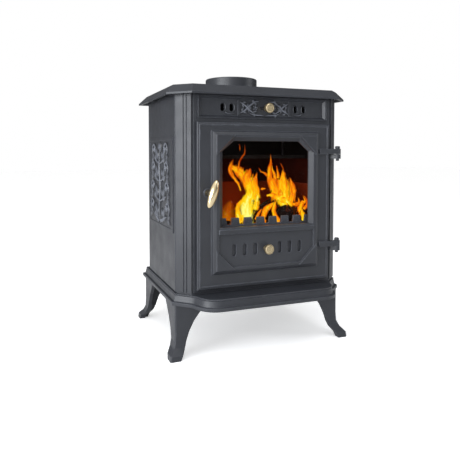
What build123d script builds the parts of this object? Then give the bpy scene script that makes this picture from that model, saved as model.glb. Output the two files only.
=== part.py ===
"""Small cast iron stove with a glazed door, octagonal front corners and cabriole legs.

Millimetres. Z is up, the door faces -Y, and the origin is the middle of the
footprint on the floor. Every casting, fitting and lining is its own file.
"""
from build123d import *
import math
import os

os.makedirs("parts", exist_ok=True)

# Heights, stacked from the floor
LEG_HEIGHT = 114.0
BASE_HEIGHT = 24.0
PLINTH_HEIGHT = 4.0
BODY_HEIGHT = 436.0
TOP_THICKNESS = 7.0
COLLAR_HEIGHT = 42.0

# Body, an upright box with its two front corners cut off
BODY_WIDTH = 396.0
BODY_DEPTH = 276.0
BODY_CENTRE_Y = 5.0
CORNER_CUT = 27.0
WALL = 7.0
FIT = 0.3

# Base plate and its moulded edge
BASE_OUTSET = 9.7
BASE_WEB = 7.0
BASE_RIM = 6.0
BASE_REAR_REACH = 27.3
ASH_LIP_REACH = 50.8
LIP_RADIUS = 38.0
LIP_FLARE = 30.0
LIP_HALF_STRAIGHT = 122.0
LIP_SIDE_ANGLE = 70.0
PLINTH_INSET = 2.5
BEAD_HEIGHT = 3.5
STRIP_HEIGHT = 7.5

# Legs
LEG_INSET = 5.2
LEG_REAR_INSET = 9.0
TOE_KICK_X = 16.5
TOE_KICK_Y = 22.5
LEG_WALL = 8.0
LEG_FLANGE = 6.0
LEG_BOLT_SETBACK = 27.0
LEG_BOLT_RADIUS = 4.0

# Top plate and flue collar
TOP_OVERHANG = 21.0
TOP_FRONT_OVERHANG = 22.7
TOP_CORNER_CUT = 43.0
TOP_DROP = 21.3
TOP_RIM_FACE = 4.0
TOP_SLOPE_INSET = 17.0
TOP_RIM_WALL = 6.0
TOP_BODY_GAP = 2.0
COLLAR_BORE = 122.0
COLLAR_WALL = 4.5
COLLAR_SETBACK = 78.0
COLLAR_FLANGE_WIDTH = 14.0
COLLAR_FLANGE = 6.0
COLLAR_BOLTS = 3
COLLAR_BOLT_RADIUS = 3.0

# Side panels
FIELD_RAISE = 2.5
FIELD_FRONT_MARGIN = 14.0
FIELD_REAR_MARGIN = 18.0
FIELD_BOTTOM = 124.0
FIELD_HEIGHT = 210.0
FIELD_BORDER = 7.0
STRIP_WIDTH = 7.0
STRIP_RAISE = 0.8
LEDGE_REACH = 12.0
LEDGE_THICKNESS = 8.0
LEDGE_REAR_GAP = 24.0
JOINT_WIDTH = 5.0
JOINT_DEPTH = 3.0
FLUTE_WIDTH = 2.6
FLUTE_DEPTH = 1.8

# Door
DOOR_WIDTH = 322.0
DOOR_HEAD_GAP = 8.5
DOOR_LIFT = 7.0
DOOR_GAP = 2.5
DOOR_SLAB = 7.8
DOOR_OVERLAP = 12.0
BEAD_WIDTH = 3.0
BEAD_RAISE = 1.2
SURROUND_WIDTH = 260.0
SURROUND_DROP = 18.0
SURROUND_LIFT = 31.0
SURROUND_SLOPE = 9.0
SURROUND_RAISE = 9.0
SURROUND_LAND = 6.0
WINDOW_WIDTH = 210.0
WINDOW_DROP = 40.0
WINDOW_LIFT = 132.0
WINDOW_CORNER_X = 26.0
WINDOW_CORNER_Z = 22.0
WINDOW_LIP = 3.0
GUSSET_SIDE = 46.0
GUSSET_RAISE = 2.0
RAIL_HEIGHT = 14.0
PANEL_STEP = 3.3
PANEL_WALL = 4.0
AIR_SLOT_WIDTH = 9.3
AIR_SLOT_HEIGHT = 26.0
AIR_SLOT_PITCH = 25.1
AIR_SLOT_LIFT = 82.0
AIR_SLOTS_EACH_SIDE = 3
SLIDER_THICKNESS = 3.0
PRIMARY_TRAVEL = 12.0
PRIMARY_KNOB_REST = -4.0
AIRWASH_TRAVEL = 11.0
AIRWASH_KNOB_REST = 5.0

# Glass and its seals
GLASS_THICKNESS = 4.0
GLASS_LAP = 12.0
TAPE_THICKNESS = 1.5
TAPE_WIDTH = 8.0
ROPE_WIDTH = 8.0
ROPE_CHANNEL = 3.0
CLIP_INSET = 45.0

# Hinges
HINGE_X = 183.0
HINGE_REACH = 10.0
HINGE_PIN_RADIUS = 3.5
HINGE_KNUCKLE_RADIUS = 7.5
HINGE_ARM_HEIGHT = 12.0
HINGE_LUG_HEIGHT = 10.5
HINGE_RUNNING_GAP = 0.4
HINGE_PIN_PLAY = 0.05
HINGE_ARM_START = 131.0
UPPER_HINGE_DROP = 68.0
LOWER_HINGE_LIFT = 75.0

# Handle and latch
HANDLE_X = -138.0
HANDLE_LIFT = 207.0
HANDLE_REACH = 33.0
HANDLE_LENGTH = 61.0
HANDLE_WIDTH = 18.6
HANDLE_LEAN = 17.0
SPINDLE_RADIUS = 5.0
SPINDLE_PLAY = 0.08
BOSS_RADIUS = 9.0
TONGUE_LENGTH = 24.0
TONGUE_WIDTH = 12.0
TONGUE_THICKNESS = 5.0
TONGUE_GAP = 1.5

# Frieze with the upper air control
FRIEZE_WIDTH = 317.0
FRIEZE_HEIGHT = 48.5
FRIEZE_DROP = 15.0
FRIEZE_FLANGE = 5.0
FRIEZE_REBATE = 3.0
FRIEZE_EDGE = 8.0
FRIEZE_FIELD_DEPTH = 5.5
FRIEZE_BEVEL = 5.0
OVAL_WIDTH = 10.0
OVAL_HEIGHT = 17.0
OVAL_PLACES = (78.0, 99.0)
BLOCK_PLACE = 62.0
BLOCK_WIDTH = 4.0

# Brass knobs
KNOB_RADIUS = 11.3
KNOB_LENGTH = 17.0
STEM_RADIUS = 4.0

# Firebox
FLOOR_LIFT = 98.0
FLOOR_THICKNESS = 10.0
GRATE_WIDTH = 220.0
GRATE_DEPTH = 150.0
GRATE_BARS = 11
GRATE_SLOT = 9.0
BRICK_THICKNESS = 24.7
LOWER_COURSE = 114.0
UPPER_COURSE = 63.0
BRICK_FRONT_MARGIN = 29.0
BAFFLE_THICKNESS = 8.0
BAFFLE_DEPTH = 172.0
GUARD_SETBACK = 18.0
GUARD_THICKNESS = 6.0
GUARD_HEIGHT = 46.0
MERLON_HEIGHT = 15.0
MERLON_PITCH = 31.0
MERLON_TOP = 17.0
MERLON_FOOT = 21.0
MERLONS = 9
DUCT_DEPTH = 22.0
DUCT_SHEET = 2.0
PAN_WIDTH = 250.0
PAN_DEPTH = 226.0
PAN_HEIGHT = 60.0
PAN_SHEET = 2.0
PAN_RAIL_WIDTH = 10.0
PAN_GRIP_WIDTH = 68.0
PAN_GRIP_REACH = 13.0
PAN_GRIP_BAR = 4.5
PAN_RAIL_SPACING = 190.0
TIE_RADIUS = 3.0
TIE_INSET = 12.7

# Levels and planes that follow from the sizes above
BASE_TOP = LEG_HEIGHT + BASE_HEIGHT
BODY_FOOT = BASE_TOP + PLINTH_HEIGHT
BODY_TOP = BODY_FOOT + BODY_HEIGHT
TOP_Z = BODY_TOP + TOP_THICKNESS
HALF_BODY = BODY_WIDTH / 2
FRONT_Y = BODY_CENTRE_Y - BODY_DEPTH / 2
REAR_Y = BODY_CENTRE_Y + BODY_DEPTH / 2
FRAME_BACK = FRONT_Y + WALL
INSIDE_X = HALF_BODY - WALL
INSIDE_REAR = REAR_Y - WALL
DOOR_BACK = FRONT_Y - DOOR_GAP
DOOR_FRONT = DOOR_BACK - DOOR_SLAB
DOOR_FOOT = BODY_FOOT + DOOR_LIFT
FRIEZE_HEAD = BODY_TOP - FRIEZE_DROP
FRIEZE_FOOT = FRIEZE_HEAD - FRIEZE_HEIGHT
DOOR_HEAD = FRIEZE_FOOT - DOOR_HEAD_GAP
WINDOW_FOOT = DOOR_FOOT + WINDOW_LIFT
WINDOW_HEAD = DOOR_HEAD - WINDOW_DROP
HALF_DOOR = DOOR_WIDTH / 2
MOUTH_HALF = HALF_DOOR - DOOR_OVERLAP
MOUTH_FOOT = DOOR_FOOT + DOOR_OVERLAP
MOUTH_HEAD = DOOR_HEAD - DOOR_OVERLAP
RIDGE_FRONT = DOOR_FRONT - SURROUND_RAISE
PANEL_FRONT = RIDGE_FRONT + PANEL_STEP
HINGE_Y = FRONT_Y - HINGE_REACH
FLOOR_Z = BODY_FOOT + FLOOR_LIFT
HEARTH_Z = FLOOR_Z + FLOOR_THICKNESS
COLLAR_Y = REAR_Y - COLLAR_SETBACK
ROOT_TWO = math.sqrt(2)
BEND = math.tan(math.radians(22.5))


def block(x0, x1, y0, y1, z0, z1):
    """A box between two corners."""
    centre = Pos((x0 + x1) / 2, (y0 + y1) / 2, (z0 + z1) / 2)
    return centre * Box(x1 - x0, y1 - y0, z1 - z0)


def post(x, y, z0, z1, radius):
    """An upright round bar."""
    return Pos(x, y, (z0 + z1) / 2) * Cylinder(radius, z1 - z0)


def bar_y(x, z, y0, y1, radius):
    """A round bar that runs from front to back."""
    return Pos(x, (y0 + y1) / 2, z) * Rot(90, 0, 0) * Cylinder(radius, y1 - y0)


def plan_face(points, z):
    """A flat face from plan points at one height."""
    return make_face(Polyline(*[(x, y, z) for x, y in points], close=True))


def upright(points, z0, z1):
    """A prism over plan points."""
    return extrude(plan_face(points, z0), z1 - z0, dir=(0, 0, 1))


def front_face(points, y):
    """A flat face from (x, z) points at one depth."""
    return make_face(Polyline(*[(x, y, z) for x, z in points], close=True))


def plate_y(points, y0, y1):
    """A prism whose outline is drawn in the front view."""
    return extrude(front_face(points, y0), y1 - y0, dir=(0, 1, 0))


def rectangle(half_width, z0, z1):
    """Corner points of an upright rectangle about the middle plane."""
    return [(-half_width, z0), (half_width, z0), (half_width, z1), (-half_width, z1)]


def skin(rings):
    """A solid with flat faces between rings that have the same number of corners."""
    faces = [Face(Wire.make_polygon(ring)) for ring in (rings[0], rings[-1])]
    for near, far in zip(rings, rings[1:]):
        for first in range(len(near)):
            second = (first + 1) % len(near)
            corners = [near[first], near[second], far[second], far[first]]
            faces.append(Face(Wire.make_polygon(corners)))
    return Solid(Shell(faces))


def ring_y(points, y):
    """Front-view corner points set at one depth."""
    return [(x, y, z) for x, z in points]


def slope_y(front, y_front, back, y_back):
    """A solid between two outlines at two depths."""
    return skin([ring_y(front, y_front), ring_y(back, y_back)])


def slot_y(x, z, width, height, y0, y1):
    """An upright slot with round ends, cut from front to back."""
    place = Plane(origin=(x, y0, z), x_dir=(0, 0, 1), z_dir=(0, 1, 0))
    return extrude(place * SlotOverall(height, width), y1 - y0)


def hex_bolt(x, y, z_head, head_height, shank_end, radius):
    """A hexagon bolt; the head sits below z_head when the shank runs up."""
    hexagon = RegularPolygon(1.65 * radius, 6, major_radius=False)
    head = extrude(Pos(x, y, z_head) * hexagon, -head_height if shank_end > z_head else head_height)
    low, high = sorted((z_head, shank_end))
    return head + post(x, y, low, high, radius)


def body_outline(outset):
    """Plan of the body, moved outward by outset: cut front corners, square rear ones."""
    half = HALF_BODY + outset
    shift = outset * BEND
    front = FRONT_Y - outset
    side_y = FRONT_Y + CORNER_CUT - shift
    front_x = HALF_BODY - CORNER_CUT + shift
    rear = REAR_Y + outset
    return [(-half, rear), (-half, side_y), (-front_x, front),
            (front_x, front), (half, side_y), (half, rear)]


def base_outline(outset, z):
    """Plan of the base at one height: body corners, a serpentine ash lip, square rear."""
    half = HALF_BODY + outset
    rear = REAR_Y + BASE_REAR_REACH + outset
    side_y = FRONT_Y + CORNER_CUT - outset * BEND
    lip = FRONT_Y - ASH_LIP_REACH - outset
    radius = LIP_RADIUS + outset
    angle = math.radians(LIP_SIDE_ANGLE)
    # the steep side of the lip is tangent to the round corner
    start_x = -LIP_HALF_STRAIGHT - radius * math.sin(angle)
    start_y = lip + radius * (1 - math.cos(angle))
    # where that side meets the corner cut, on the line x + y = constant
    corner_sum = -half + side_y
    run = (corner_sum - start_x - start_y) / (math.sin(angle) - math.cos(angle))
    meet = (start_x - run * math.cos(angle), start_y + run * math.sin(angle))
    # where that side would meet the straight lip
    drop = (start_y - lip) / math.tan(angle)
    knee = (start_x + drop, lip)
    left = [(-half, rear), (-half, side_y), meet, knee]
    right = [(-x, y) for x, y in reversed(left)]
    face = plan_face(left + right, z)

    def near(point):
        return lambda v: math.hypot(abs(v.X) - abs(point[0]), v.Y - point[1]) < 0.01

    face = fillet(face.vertices().filter_by(near(meet)), LIP_FLARE - outset).face()
    return fillet(face.vertices().filter_by(near(knee)), radius).face()


def top_outline(inset, z):
    """Plan corners of the top plate at one height, moved inward by inset."""
    half = HALF_BODY + TOP_OVERHANG - inset
    front = FRONT_Y - TOP_FRONT_OVERHANG + inset
    rear = REAR_Y + TOP_OVERHANG - inset
    cut = TOP_CORNER_CUT - (2 - ROOT_TWO) * inset
    plan = [(-half, rear), (-half, front + cut), (-half + cut, front),
            (half - cut, front), (half, front + cut), (half, rear)]
    return [(x, y, z) for x, y in plan]


def tie_places():
    """Plan places of the four tie rods that clamp top, body and base together."""
    front_sum = HALF_BODY - CORNER_CUT / 2 - TIE_INSET / ROOT_TWO
    front_y = FRONT_Y + CORNER_CUT / 2 + TIE_INSET / ROOT_TWO
    rear_x = HALF_BODY - TIE_INSET - 5
    rear_y = INSIDE_REAR - TIE_INSET
    return [(side * x, y) for side in (-1, 1) for x, y in ((front_sum, front_y), (rear_x, rear_y))]


def leg_corner():
    """Plan place of a front leg's outer corner, on the line of the base's cut corner."""
    x = HALF_BODY + BASE_OUTSET - LEG_INSET
    edge = HALF_BODY + BASE_OUTSET - FRONT_Y - CORNER_CUT + BASE_OUTSET * BEND
    return x, x - edge


def leg_places():
    """Outer corner and inward directions of the four legs, by name."""
    x, front_y = leg_corner()
    rear_y = REAR_Y + BASE_REAR_REACH + BASE_OUTSET - LEG_REAR_INSET
    return {
        "leg_front_left": (-x, front_y, 1, 1),
        "leg_front_right": (x, front_y, -1, 1),
        "leg_rear_left": (-x, rear_y, 1, -1),
        "leg_rear_right": (x, rear_y, -1, -1),
    }


# Base and legs

def base_plate():
    """Hollow casting with a moulded edge, a plinth for the body and rails for the pan."""
    bead_foot = BASE_TOP - BEAD_HEIGHT
    strip_top = LEG_HEIGHT + STRIP_HEIGHT
    levels = [
        (LEG_HEIGHT, BASE_OUTSET),
        (strip_top - 1.2, BASE_OUTSET),
        (strip_top, BASE_OUTSET - 1.5),
        (strip_top + 0.3, 0.45 * BASE_OUTSET),
        ((strip_top + bead_foot) / 2, 0.3 * BASE_OUTSET),
        (bead_foot - 0.5, 0.17 * BASE_OUTSET),
        (bead_foot - 0.3, 0.2),
        (bead_foot + 0.2, 0.2),
        (bead_foot + 0.5, 1.6),
        (BASE_TOP - 1.0, 1.9),
        (BASE_TOP, 0.9),
    ]
    shell = loft([base_outline(outset, z) for z, outset in levels], ruled=True)
    hollow_top = BASE_TOP - BASE_WEB
    shell -= extrude(base_outline(-BASE_RIM, LEG_HEIGHT), hollow_top - LEG_HEIGHT, dir=(0, 0, 1))
    shell += upright(body_outline(-PLINTH_INSET), BASE_TOP, BODY_FOOT)
    for side in (-1, 1):
        middle = side * PAN_RAIL_SPACING / 2
        shell += block(middle - PAN_RAIL_WIDTH / 2, middle + PAN_RAIL_WIDTH / 2,
                       FRAME_BACK + 14, INSIDE_REAR - 14, BODY_FOOT, MOUTH_FOOT)
    for x, y, turn_x, turn_y in leg_places().values():
        bx, by = x + turn_x * LEG_BOLT_SETBACK, y + turn_y * LEG_BOLT_SETBACK
        shell += post(bx, by, LEG_HEIGHT, hollow_top, 3 * LEG_BOLT_RADIUS)
        shell -= post(bx, by, LEG_HEIGHT, hollow_top - 2, LEG_BOLT_RADIUS + FIT)
    for x, y in tie_places():
        shell -= post(x, y, hollow_top, BODY_FOOT, TIE_RADIUS + FIT)
    return shell


def leg_section(z, kick, arm, depth, wall):
    """One level of a leg: an L with its outer corner eased, arms toward +X and +Y."""
    x = -kick * TOE_KICK_X
    y = -kick * TOE_KICK_Y
    ease = 2.5
    plan = [(x + ease, y), (x + arm, y), (x + arm, y + wall), (x + wall, y + wall),
            (x + wall, y + depth), (x, y + depth), (x, y + ease)]
    return [(px, py, z) for px, py in plan]


def leg():
    """Cabriole bracket leg for the front left corner, with its outer corner at the origin."""
    top = LEG_HEIGHT
    levels = [
        (0.0, 1.0, 23.6, 23.6, 15.0),
        (0.10 * top, 0.93, 27.5, 27.5, 15.0),
        (0.20 * top, 0.36, 26.0, 28.5, 12.5),
        (0.31 * top, 0.06, 26.0, 30.5, 10.5),
        (0.48 * top, 0.0, 32.0, 38.0, 8.5),
        (0.68 * top, 0.0, 43.5, 52.0, LEG_WALL),
        (0.86 * top, 0.0, 59.5, 69.5, LEG_WALL),
        (top, 0.0, 78.0, 86.0, LEG_WALL),
    ]
    shape = skin([leg_section(*level) for level in levels])
    reach = 2 * LEG_BOLT_SETBACK
    flange = [(1, 1), (reach, 1), (reach, LEG_BOLT_SETBACK), (LEG_BOLT_SETBACK, reach), (1, reach)]
    shape += upright(flange, top - LEG_FLANGE, top)
    shape -= post(LEG_BOLT_SETBACK, LEG_BOLT_SETBACK, top - 2 * LEG_FLANGE, top, LEG_BOLT_RADIUS + FIT)
    return shape


def placed_leg(name):
    """A leg mirrored and moved to its corner of the base."""
    x, y, turn_x, turn_y = leg_places()[name]
    shape = leg()
    if turn_x < 0:
        shape = mirror(shape, about=Plane.YZ)
    if turn_y < 0:
        shape = mirror(shape, about=Plane.XZ)
    return Pos(x, y, 0) * shape


def leg_bolts():
    """One bolt up through each leg's flange into a boss under the base."""
    bolts = []
    for x, y, turn_x, turn_y in leg_places().values():
        bx, by = x + turn_x * LEG_BOLT_SETBACK, y + turn_y * LEG_BOLT_SETBACK
        under = LEG_HEIGHT - LEG_FLANGE
        shank_end = BASE_TOP - BASE_WEB - 4
        bolts.append(hex_bolt(bx, by, under, 1.3 * LEG_BOLT_RADIUS, shank_end, LEG_BOLT_RADIUS))
    return Compound(children=bolts)


# Body castings

def side_panel(side):
    """Left (-1) or right (1) wall with a raised field, an edge strip and a floor ledge."""
    front = FRONT_Y + CORNER_CUT
    panel = block(-HALF_BODY, -INSIDE_X, front, REAR_Y, BODY_FOOT, BODY_TOP)
    strip_end = front + 1 + STRIP_WIDTH
    panel += block(-HALF_BODY - STRIP_RAISE, -HALF_BODY, front + 1, strip_end, BODY_FOOT, BODY_TOP)
    y0, y1 = front + FIELD_FRONT_MARGIN, REAR_Y - FIELD_REAR_MARGIN
    z0 = BODY_FOOT + FIELD_BOTTOM
    z1 = z0 + FIELD_HEIGHT
    outer = -HALF_BODY - FIELD_RAISE
    field = block(outer, -HALF_BODY, y0, y1, z0, z1)
    sunk = block(outer, outer + FIELD_RAISE / 2, y0 + FIELD_BORDER, y1 - FIELD_BORDER,
                 z0 + FIELD_BORDER, z1 - FIELD_BORDER)
    panel += field - sunk
    ledge_top = FLOOR_Z
    panel += block(-INSIDE_X, -INSIDE_X + LEDGE_REACH, FRAME_BACK + CORNER_CUT, INSIDE_REAR - LEDGE_REAR_GAP,
                   ledge_top - LEDGE_THICKNESS, ledge_top)
    return panel if side < 0 else mirror(panel, about=Plane.YZ)


def corner_post(side):
    """Cast post that closes a cut front corner, with two flutes up its face."""
    outer_side = (-HALF_BODY, FRONT_Y + CORNER_CUT)
    outer_front = (-HALF_BODY + CORNER_CUT, FRONT_Y)
    inner_front = (-HALF_BODY + CORNER_CUT, FRAME_BACK)
    inner_side = (-INSIDE_X, FRONT_Y + CORNER_CUT)
    shape = upright([outer_side, outer_front, inner_front, inner_side], BODY_FOOT, BODY_TOP)
    face_length = CORNER_CUT * ROOT_TWO
    for share in (0.52, 0.71):
        along = share * face_length / ROOT_TWO
        x, y = outer_side[0] + along, outer_side[1] - along
        flute = Pos(x, y, (BODY_FOOT + BODY_TOP) / 2) * Rot(0, 0, 45)
        shape -= flute * Box(2 * FLUTE_DEPTH, FLUTE_WIDTH, BODY_HEIGHT + 2)
    return shape if side < 0 else mirror(shape, about=Plane.YZ)


def back_panel():
    """Plain rear wall with a stiffening rim on its outer face."""
    panel = block(-INSIDE_X, INSIDE_X, INSIDE_REAR, REAR_Y, BODY_FOOT, BODY_TOP)
    margin = 26
    hollow = block(-INSIDE_X + margin, INSIDE_X - margin, REAR_Y - 2, REAR_Y,
                   BODY_FOOT + margin, BODY_TOP - margin)
    return panel - hollow


def hinge_levels():
    """Height of the underside of each door arm, upper then lower."""
    return [DOOR_HEAD - UPPER_HINGE_DROP, DOOR_FOOT + LOWER_HINGE_LIFT]


def frieze_levels():
    """Lower and upper edge of the frieze."""
    return FRIEZE_FOOT, FRIEZE_HEAD


def front_frame():
    """Front casting: fire mouth, frieze opening, hinge lugs and a pad for the latch."""
    half = HALF_BODY - CORNER_CUT
    frame = block(-half, half, FRONT_Y, FRAME_BACK, BODY_FOOT, BODY_TOP)
    mouth = plate_y(rectangle(MOUTH_HALF, MOUTH_FOOT, MOUTH_HEAD), FRONT_Y, FRAME_BACK)
    frame -= fillet(mouth.edges().filter_by(Axis.Y), 6)
    low, high = frieze_levels()
    frame -= block(-FRIEZE_WIDTH / 2 - FIT, FRIEZE_WIDTH / 2 + FIT, FRONT_Y,
                   FRONT_Y + FRIEZE_REBATE, low - FIT, high + FIT)
    frame -= block(-FRIEZE_WIDTH / 2 + FRIEZE_EDGE, FRIEZE_WIDTH / 2 - FRIEZE_EDGE,
                   FRONT_Y, FRAME_BACK, low + FRIEZE_EDGE - 3, high - FRIEZE_EDGE + 3)
    for x0, x1 in ((-half, -half + JOINT_WIDTH), (half - JOINT_WIDTH, half)):
        frame -= block(x0, x1, FRONT_Y, FRONT_Y + JOINT_DEPTH, BODY_FOOT, BODY_TOP)
    for arm_foot in hinge_levels():
        z1 = arm_foot - HINGE_RUNNING_GAP
        z0 = z1 - HINGE_LUG_HEIGHT
        root = HALF_DOOR + 2.5
        web = [(root, FRONT_Y), (half, FRONT_Y),
               (HINGE_X + 0.8 * HINGE_KNUCKLE_RADIUS, HINGE_Y + 0.6 * HINGE_KNUCKLE_RADIUS),
               (HINGE_X - 0.6 * HINGE_KNUCKLE_RADIUS, HINGE_Y - 0.8 * HINGE_KNUCKLE_RADIUS)]
        lug = upright(web, z0, z1) + post(HINGE_X, HINGE_Y, z0, z1, HINGE_KNUCKLE_RADIUS)
        frame += lug - post(HINGE_X, HINGE_Y, z0, z1, HINGE_PIN_RADIUS + HINGE_PIN_PLAY)
    latch_z = DOOR_FOOT + HANDLE_LIFT
    frame += block(-MOUTH_HALF - 16, -MOUTH_HALF - 3, FRAME_BACK, FRAME_BACK + 0.6 * TONGUE_GAP,
                   latch_z - TONGUE_WIDTH, latch_z + TONGUE_WIDTH)
    return frame


def tie_rods():
    """Four rods from under the base up into the top plate, each with a nut."""
    low = BASE_TOP - BASE_WEB
    rods = []
    for x, y in tie_places():
        nut = extrude(Pos(x, y, low) * RegularPolygon(1.65 * TIE_RADIUS, 6, major_radius=False), -5)
        rods.append(nut + post(x, y, low, BODY_TOP - FIT, TIE_RADIUS))
    return Compound(children=rods)


# Top plate and flue collar

def top_plate():
    """Top with a sloped skirt, a flue hole and bosses for the tie rods."""
    rim_foot = TOP_Z - TOP_DROP
    rim_top = rim_foot + TOP_RIM_FACE
    outside = skin([top_outline(0, rim_foot), top_outline(0, rim_top),
                    top_outline(TOP_SLOPE_INSET, TOP_Z)])
    inside = skin([top_outline(TOP_RIM_WALL, rim_foot),
                   top_outline(TOP_OVERHANG - TOP_BODY_GAP, BODY_TOP)])
    top = outside - inside
    boss_radius = 2 * TIE_RADIUS
    for x, y in tie_places():
        top += post(x, y, BODY_TOP - 3 * TIE_RADIUS, BODY_TOP, boss_radius)
        top -= post(x, y, BODY_TOP - 3 * TIE_RADIUS, BODY_TOP, TIE_RADIUS + FIT)
    collar_outer = COLLAR_BORE / 2 + COLLAR_WALL
    top -= post(0, COLLAR_Y, BODY_TOP, TOP_Z, collar_outer + FIT)
    for x, y in collar_bolt_places():
        top -= post(x, y, BODY_TOP, TOP_Z, COLLAR_BOLT_RADIUS + FIT)
    return top


def collar_bolt_places():
    """Bolt circle on the collar's flange."""
    circle = COLLAR_BORE / 2 + COLLAR_WALL + COLLAR_FLANGE_WIDTH / 2
    places = []
    for step in range(COLLAR_BOLTS):
        angle = math.radians(-90 + step * 360 / COLLAR_BOLTS)
        places.append((circle * math.cos(angle), COLLAR_Y + circle * math.sin(angle)))
    return places


def flue_collar():
    """Turned collar: a spigot in the top plate, a bolting flange and a round mouth."""
    bore = COLLAR_BORE / 2
    outer = bore + COLLAR_WALL
    flange = outer + COLLAR_FLANGE_WIDTH
    head = TOP_Z + COLLAR_HEIGHT
    profile = [(bore, BODY_TOP), (outer, BODY_TOP), (outer, TOP_Z), (flange, TOP_Z),
               (flange, TOP_Z + COLLAR_FLANGE), (outer, TOP_Z + COLLAR_FLANGE),
               (outer, head - 1.5), (outer - 1.5, head), (bore, head)]
    face = make_face(Polyline(*[(r, 0, z) for r, z in profile], close=True))
    collar = Pos(0, COLLAR_Y, 0) * revolve(face, Axis.Z)
    for x, y in collar_bolt_places():
        collar -= post(x, y, TOP_Z, TOP_Z + COLLAR_FLANGE, COLLAR_BOLT_RADIUS + FIT)
    return collar


def collar_bolts():
    """Bolts that hold the collar's flange to the top plate."""
    seat = TOP_Z + COLLAR_FLANGE
    return Compound(children=[hex_bolt(x, y, seat, 1.3 * COLLAR_BOLT_RADIUS, BODY_TOP, COLLAR_BOLT_RADIUS)
                              for x, y in collar_bolt_places()])


# Frieze and upper air control

def frieze_panel():
    """Cast frieze: bevelled border, sunk field, oval air slots and slider guides."""
    low, high = frieze_levels()
    half = FRIEZE_WIDTH / 2
    seat = FRONT_Y + FRIEZE_REBATE
    face = seat - FRIEZE_FLANGE
    field = face + FRIEZE_FIELD_DEPTH
    back = FRAME_BACK
    panel = block(-half, half, face, seat, low, high)
    plug = FRIEZE_EDGE + FIT
    panel += block(-half + plug, half - plug, seat, back, low + plug - 3, high - plug + 3)
    edge = 4.5
    inner = edge + FRIEZE_BEVEL
    panel -= slope_y(rectangle(half - edge, low + edge - 1.5, high - edge + 1.5), face,
                     rectangle(half - inner, low + inner - 2.5, high - inner + 2.5), field)
    groove = 1.2
    ring = plate_y(rectangle(half - 1.6, low + 1.6, high - 1.6), face, face + groove)
    ring -= plate_y(rectangle(half - 1.6 - groove, low + 1.6 + groove, high - 1.6 - groove),
                    face, face + groove)
    panel -= ring
    middle = (low + high) / 2
    for side in (-1, 1):
        for place in OVAL_PLACES:
            panel -= slot_y(side * place, middle, OVAL_WIDTH, OVAL_HEIGHT, field, back)
        panel += block(side * BLOCK_PLACE - BLOCK_WIDTH / 2, side * BLOCK_PLACE + BLOCK_WIDTH / 2,
                       field - 2.5, field, low + inner - 2.5, high - inner + 2.5)
    stem_room = STEM_RADIUS + FIT
    panel -= block(AIRWASH_KNOB_REST - AIRWASH_TRAVEL - stem_room, AIRWASH_KNOB_REST + stem_room,
                   field, back, middle - stem_room, middle + stem_room)
    reach = airwash_half_length() + AIRWASH_TRAVEL
    for z, sign in ((middle - airwash_half_height(), -1), (middle + airwash_half_height(), 1)):
        edge_z = z + sign * FIT
        foot, head = sorted((edge_z, edge_z + sign * 3))
        panel += block(-reach, reach, back, back + SLIDER_THICKNESS + 2 * FIT, foot, head)
        foot, head = sorted((edge_z - sign * 3, edge_z + sign * 3))
        lip = back + SLIDER_THICKNESS + 2 * FIT
        panel += block(-reach, reach, lip, lip + 2, foot, head)
    return panel


def airwash_half_length():
    """Half length of the upper slider plate."""
    return max(OVAL_PLACES) + OVAL_WIDTH / 2 + 6


def airwash_half_height():
    """Half height of the upper slider plate."""
    return OVAL_HEIGHT / 2 + 4


def airwash_slider():
    """Plate behind the frieze whose holes line up with the ovals when open."""
    low, high = frieze_levels()
    middle = (low + high) / 2
    y0 = FRAME_BACK + FIT
    y1 = y0 + SLIDER_THICKNESS
    half = airwash_half_length()
    plate = block(-half, half, y0, y1, middle - airwash_half_height(), middle + airwash_half_height())
    for side in (-1, 1):
        for place in OVAL_PLACES:
            plate -= slot_y(side * place, middle, OVAL_WIDTH, OVAL_HEIGHT, y0, y1)
    return plate


def knob(x, z, stem_end, face_y):
    """Turned brass knob on a stem; face_y is the surface that it stands off."""
    back = face_y - 3.0
    nose = back - KNOB_LENGTH
    r = KNOB_RADIUS
    profile = [(0, stem_end), (STEM_RADIUS, stem_end), (STEM_RADIUS, back), (0.62 * r, back),
               (0.52 * r, back - 6), (0.94 * r, back - 10), (r, back - 12), (0.94 * r, nose + 1.2),
               (0.6 * r, nose), (0, nose)]
    face = make_face(Polyline(*[(radius, y, 0) for radius, y in profile], close=True))
    return Pos(x, 0, z) * revolve(face, Axis.Y)


def airwash_knob():
    """Knob of the upper air slider."""
    low, high = frieze_levels()
    field = FRONT_Y + FRIEZE_REBATE - FRIEZE_FLANGE + FRIEZE_FIELD_DEPTH
    return knob(AIRWASH_KNOB_REST, (low + high) / 2, FRAME_BACK + FIT, field)


def air_duct():
    """Bent sheet behind the frieze that turns the upper air down over the glass."""
    low, high = frieze_levels()
    back = FRAME_BACK + DUCT_DEPTH
    nose = FRAME_BACK + 0.55 * DUCT_DEPTH
    top = high + 4
    foot = MOUTH_HEAD + 2
    outer = [(FRAME_BACK, top), (back, top), (back, low), (nose, foot),
             (nose - DUCT_SHEET, foot), (back - DUCT_SHEET, low), (back - DUCT_SHEET, top - DUCT_SHEET),
             (FRAME_BACK, top - DUCT_SHEET)]
    half = FRIEZE_WIDTH / 2 - 4
    sheet = extrude(make_face(Polyline(*[(-half, y, z) for y, z in outer], close=True)),
                    2 * half, dir=(1, 0, 0))
    ends = [(FRAME_BACK, top - DUCT_SHEET), (back - DUCT_SHEET, top - DUCT_SHEET),
            (back - DUCT_SHEET, low), (nose - DUCT_SHEET, foot), (FRAME_BACK, foot)]
    for x in (-half, half - DUCT_SHEET):
        cheek = make_face(Polyline(*[(x, y, z) for y, z in ends], close=True))
        sheet += extrude(cheek, DUCT_SHEET, dir=(1, 0, 0))
    return sheet


# Door and what it carries

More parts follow.
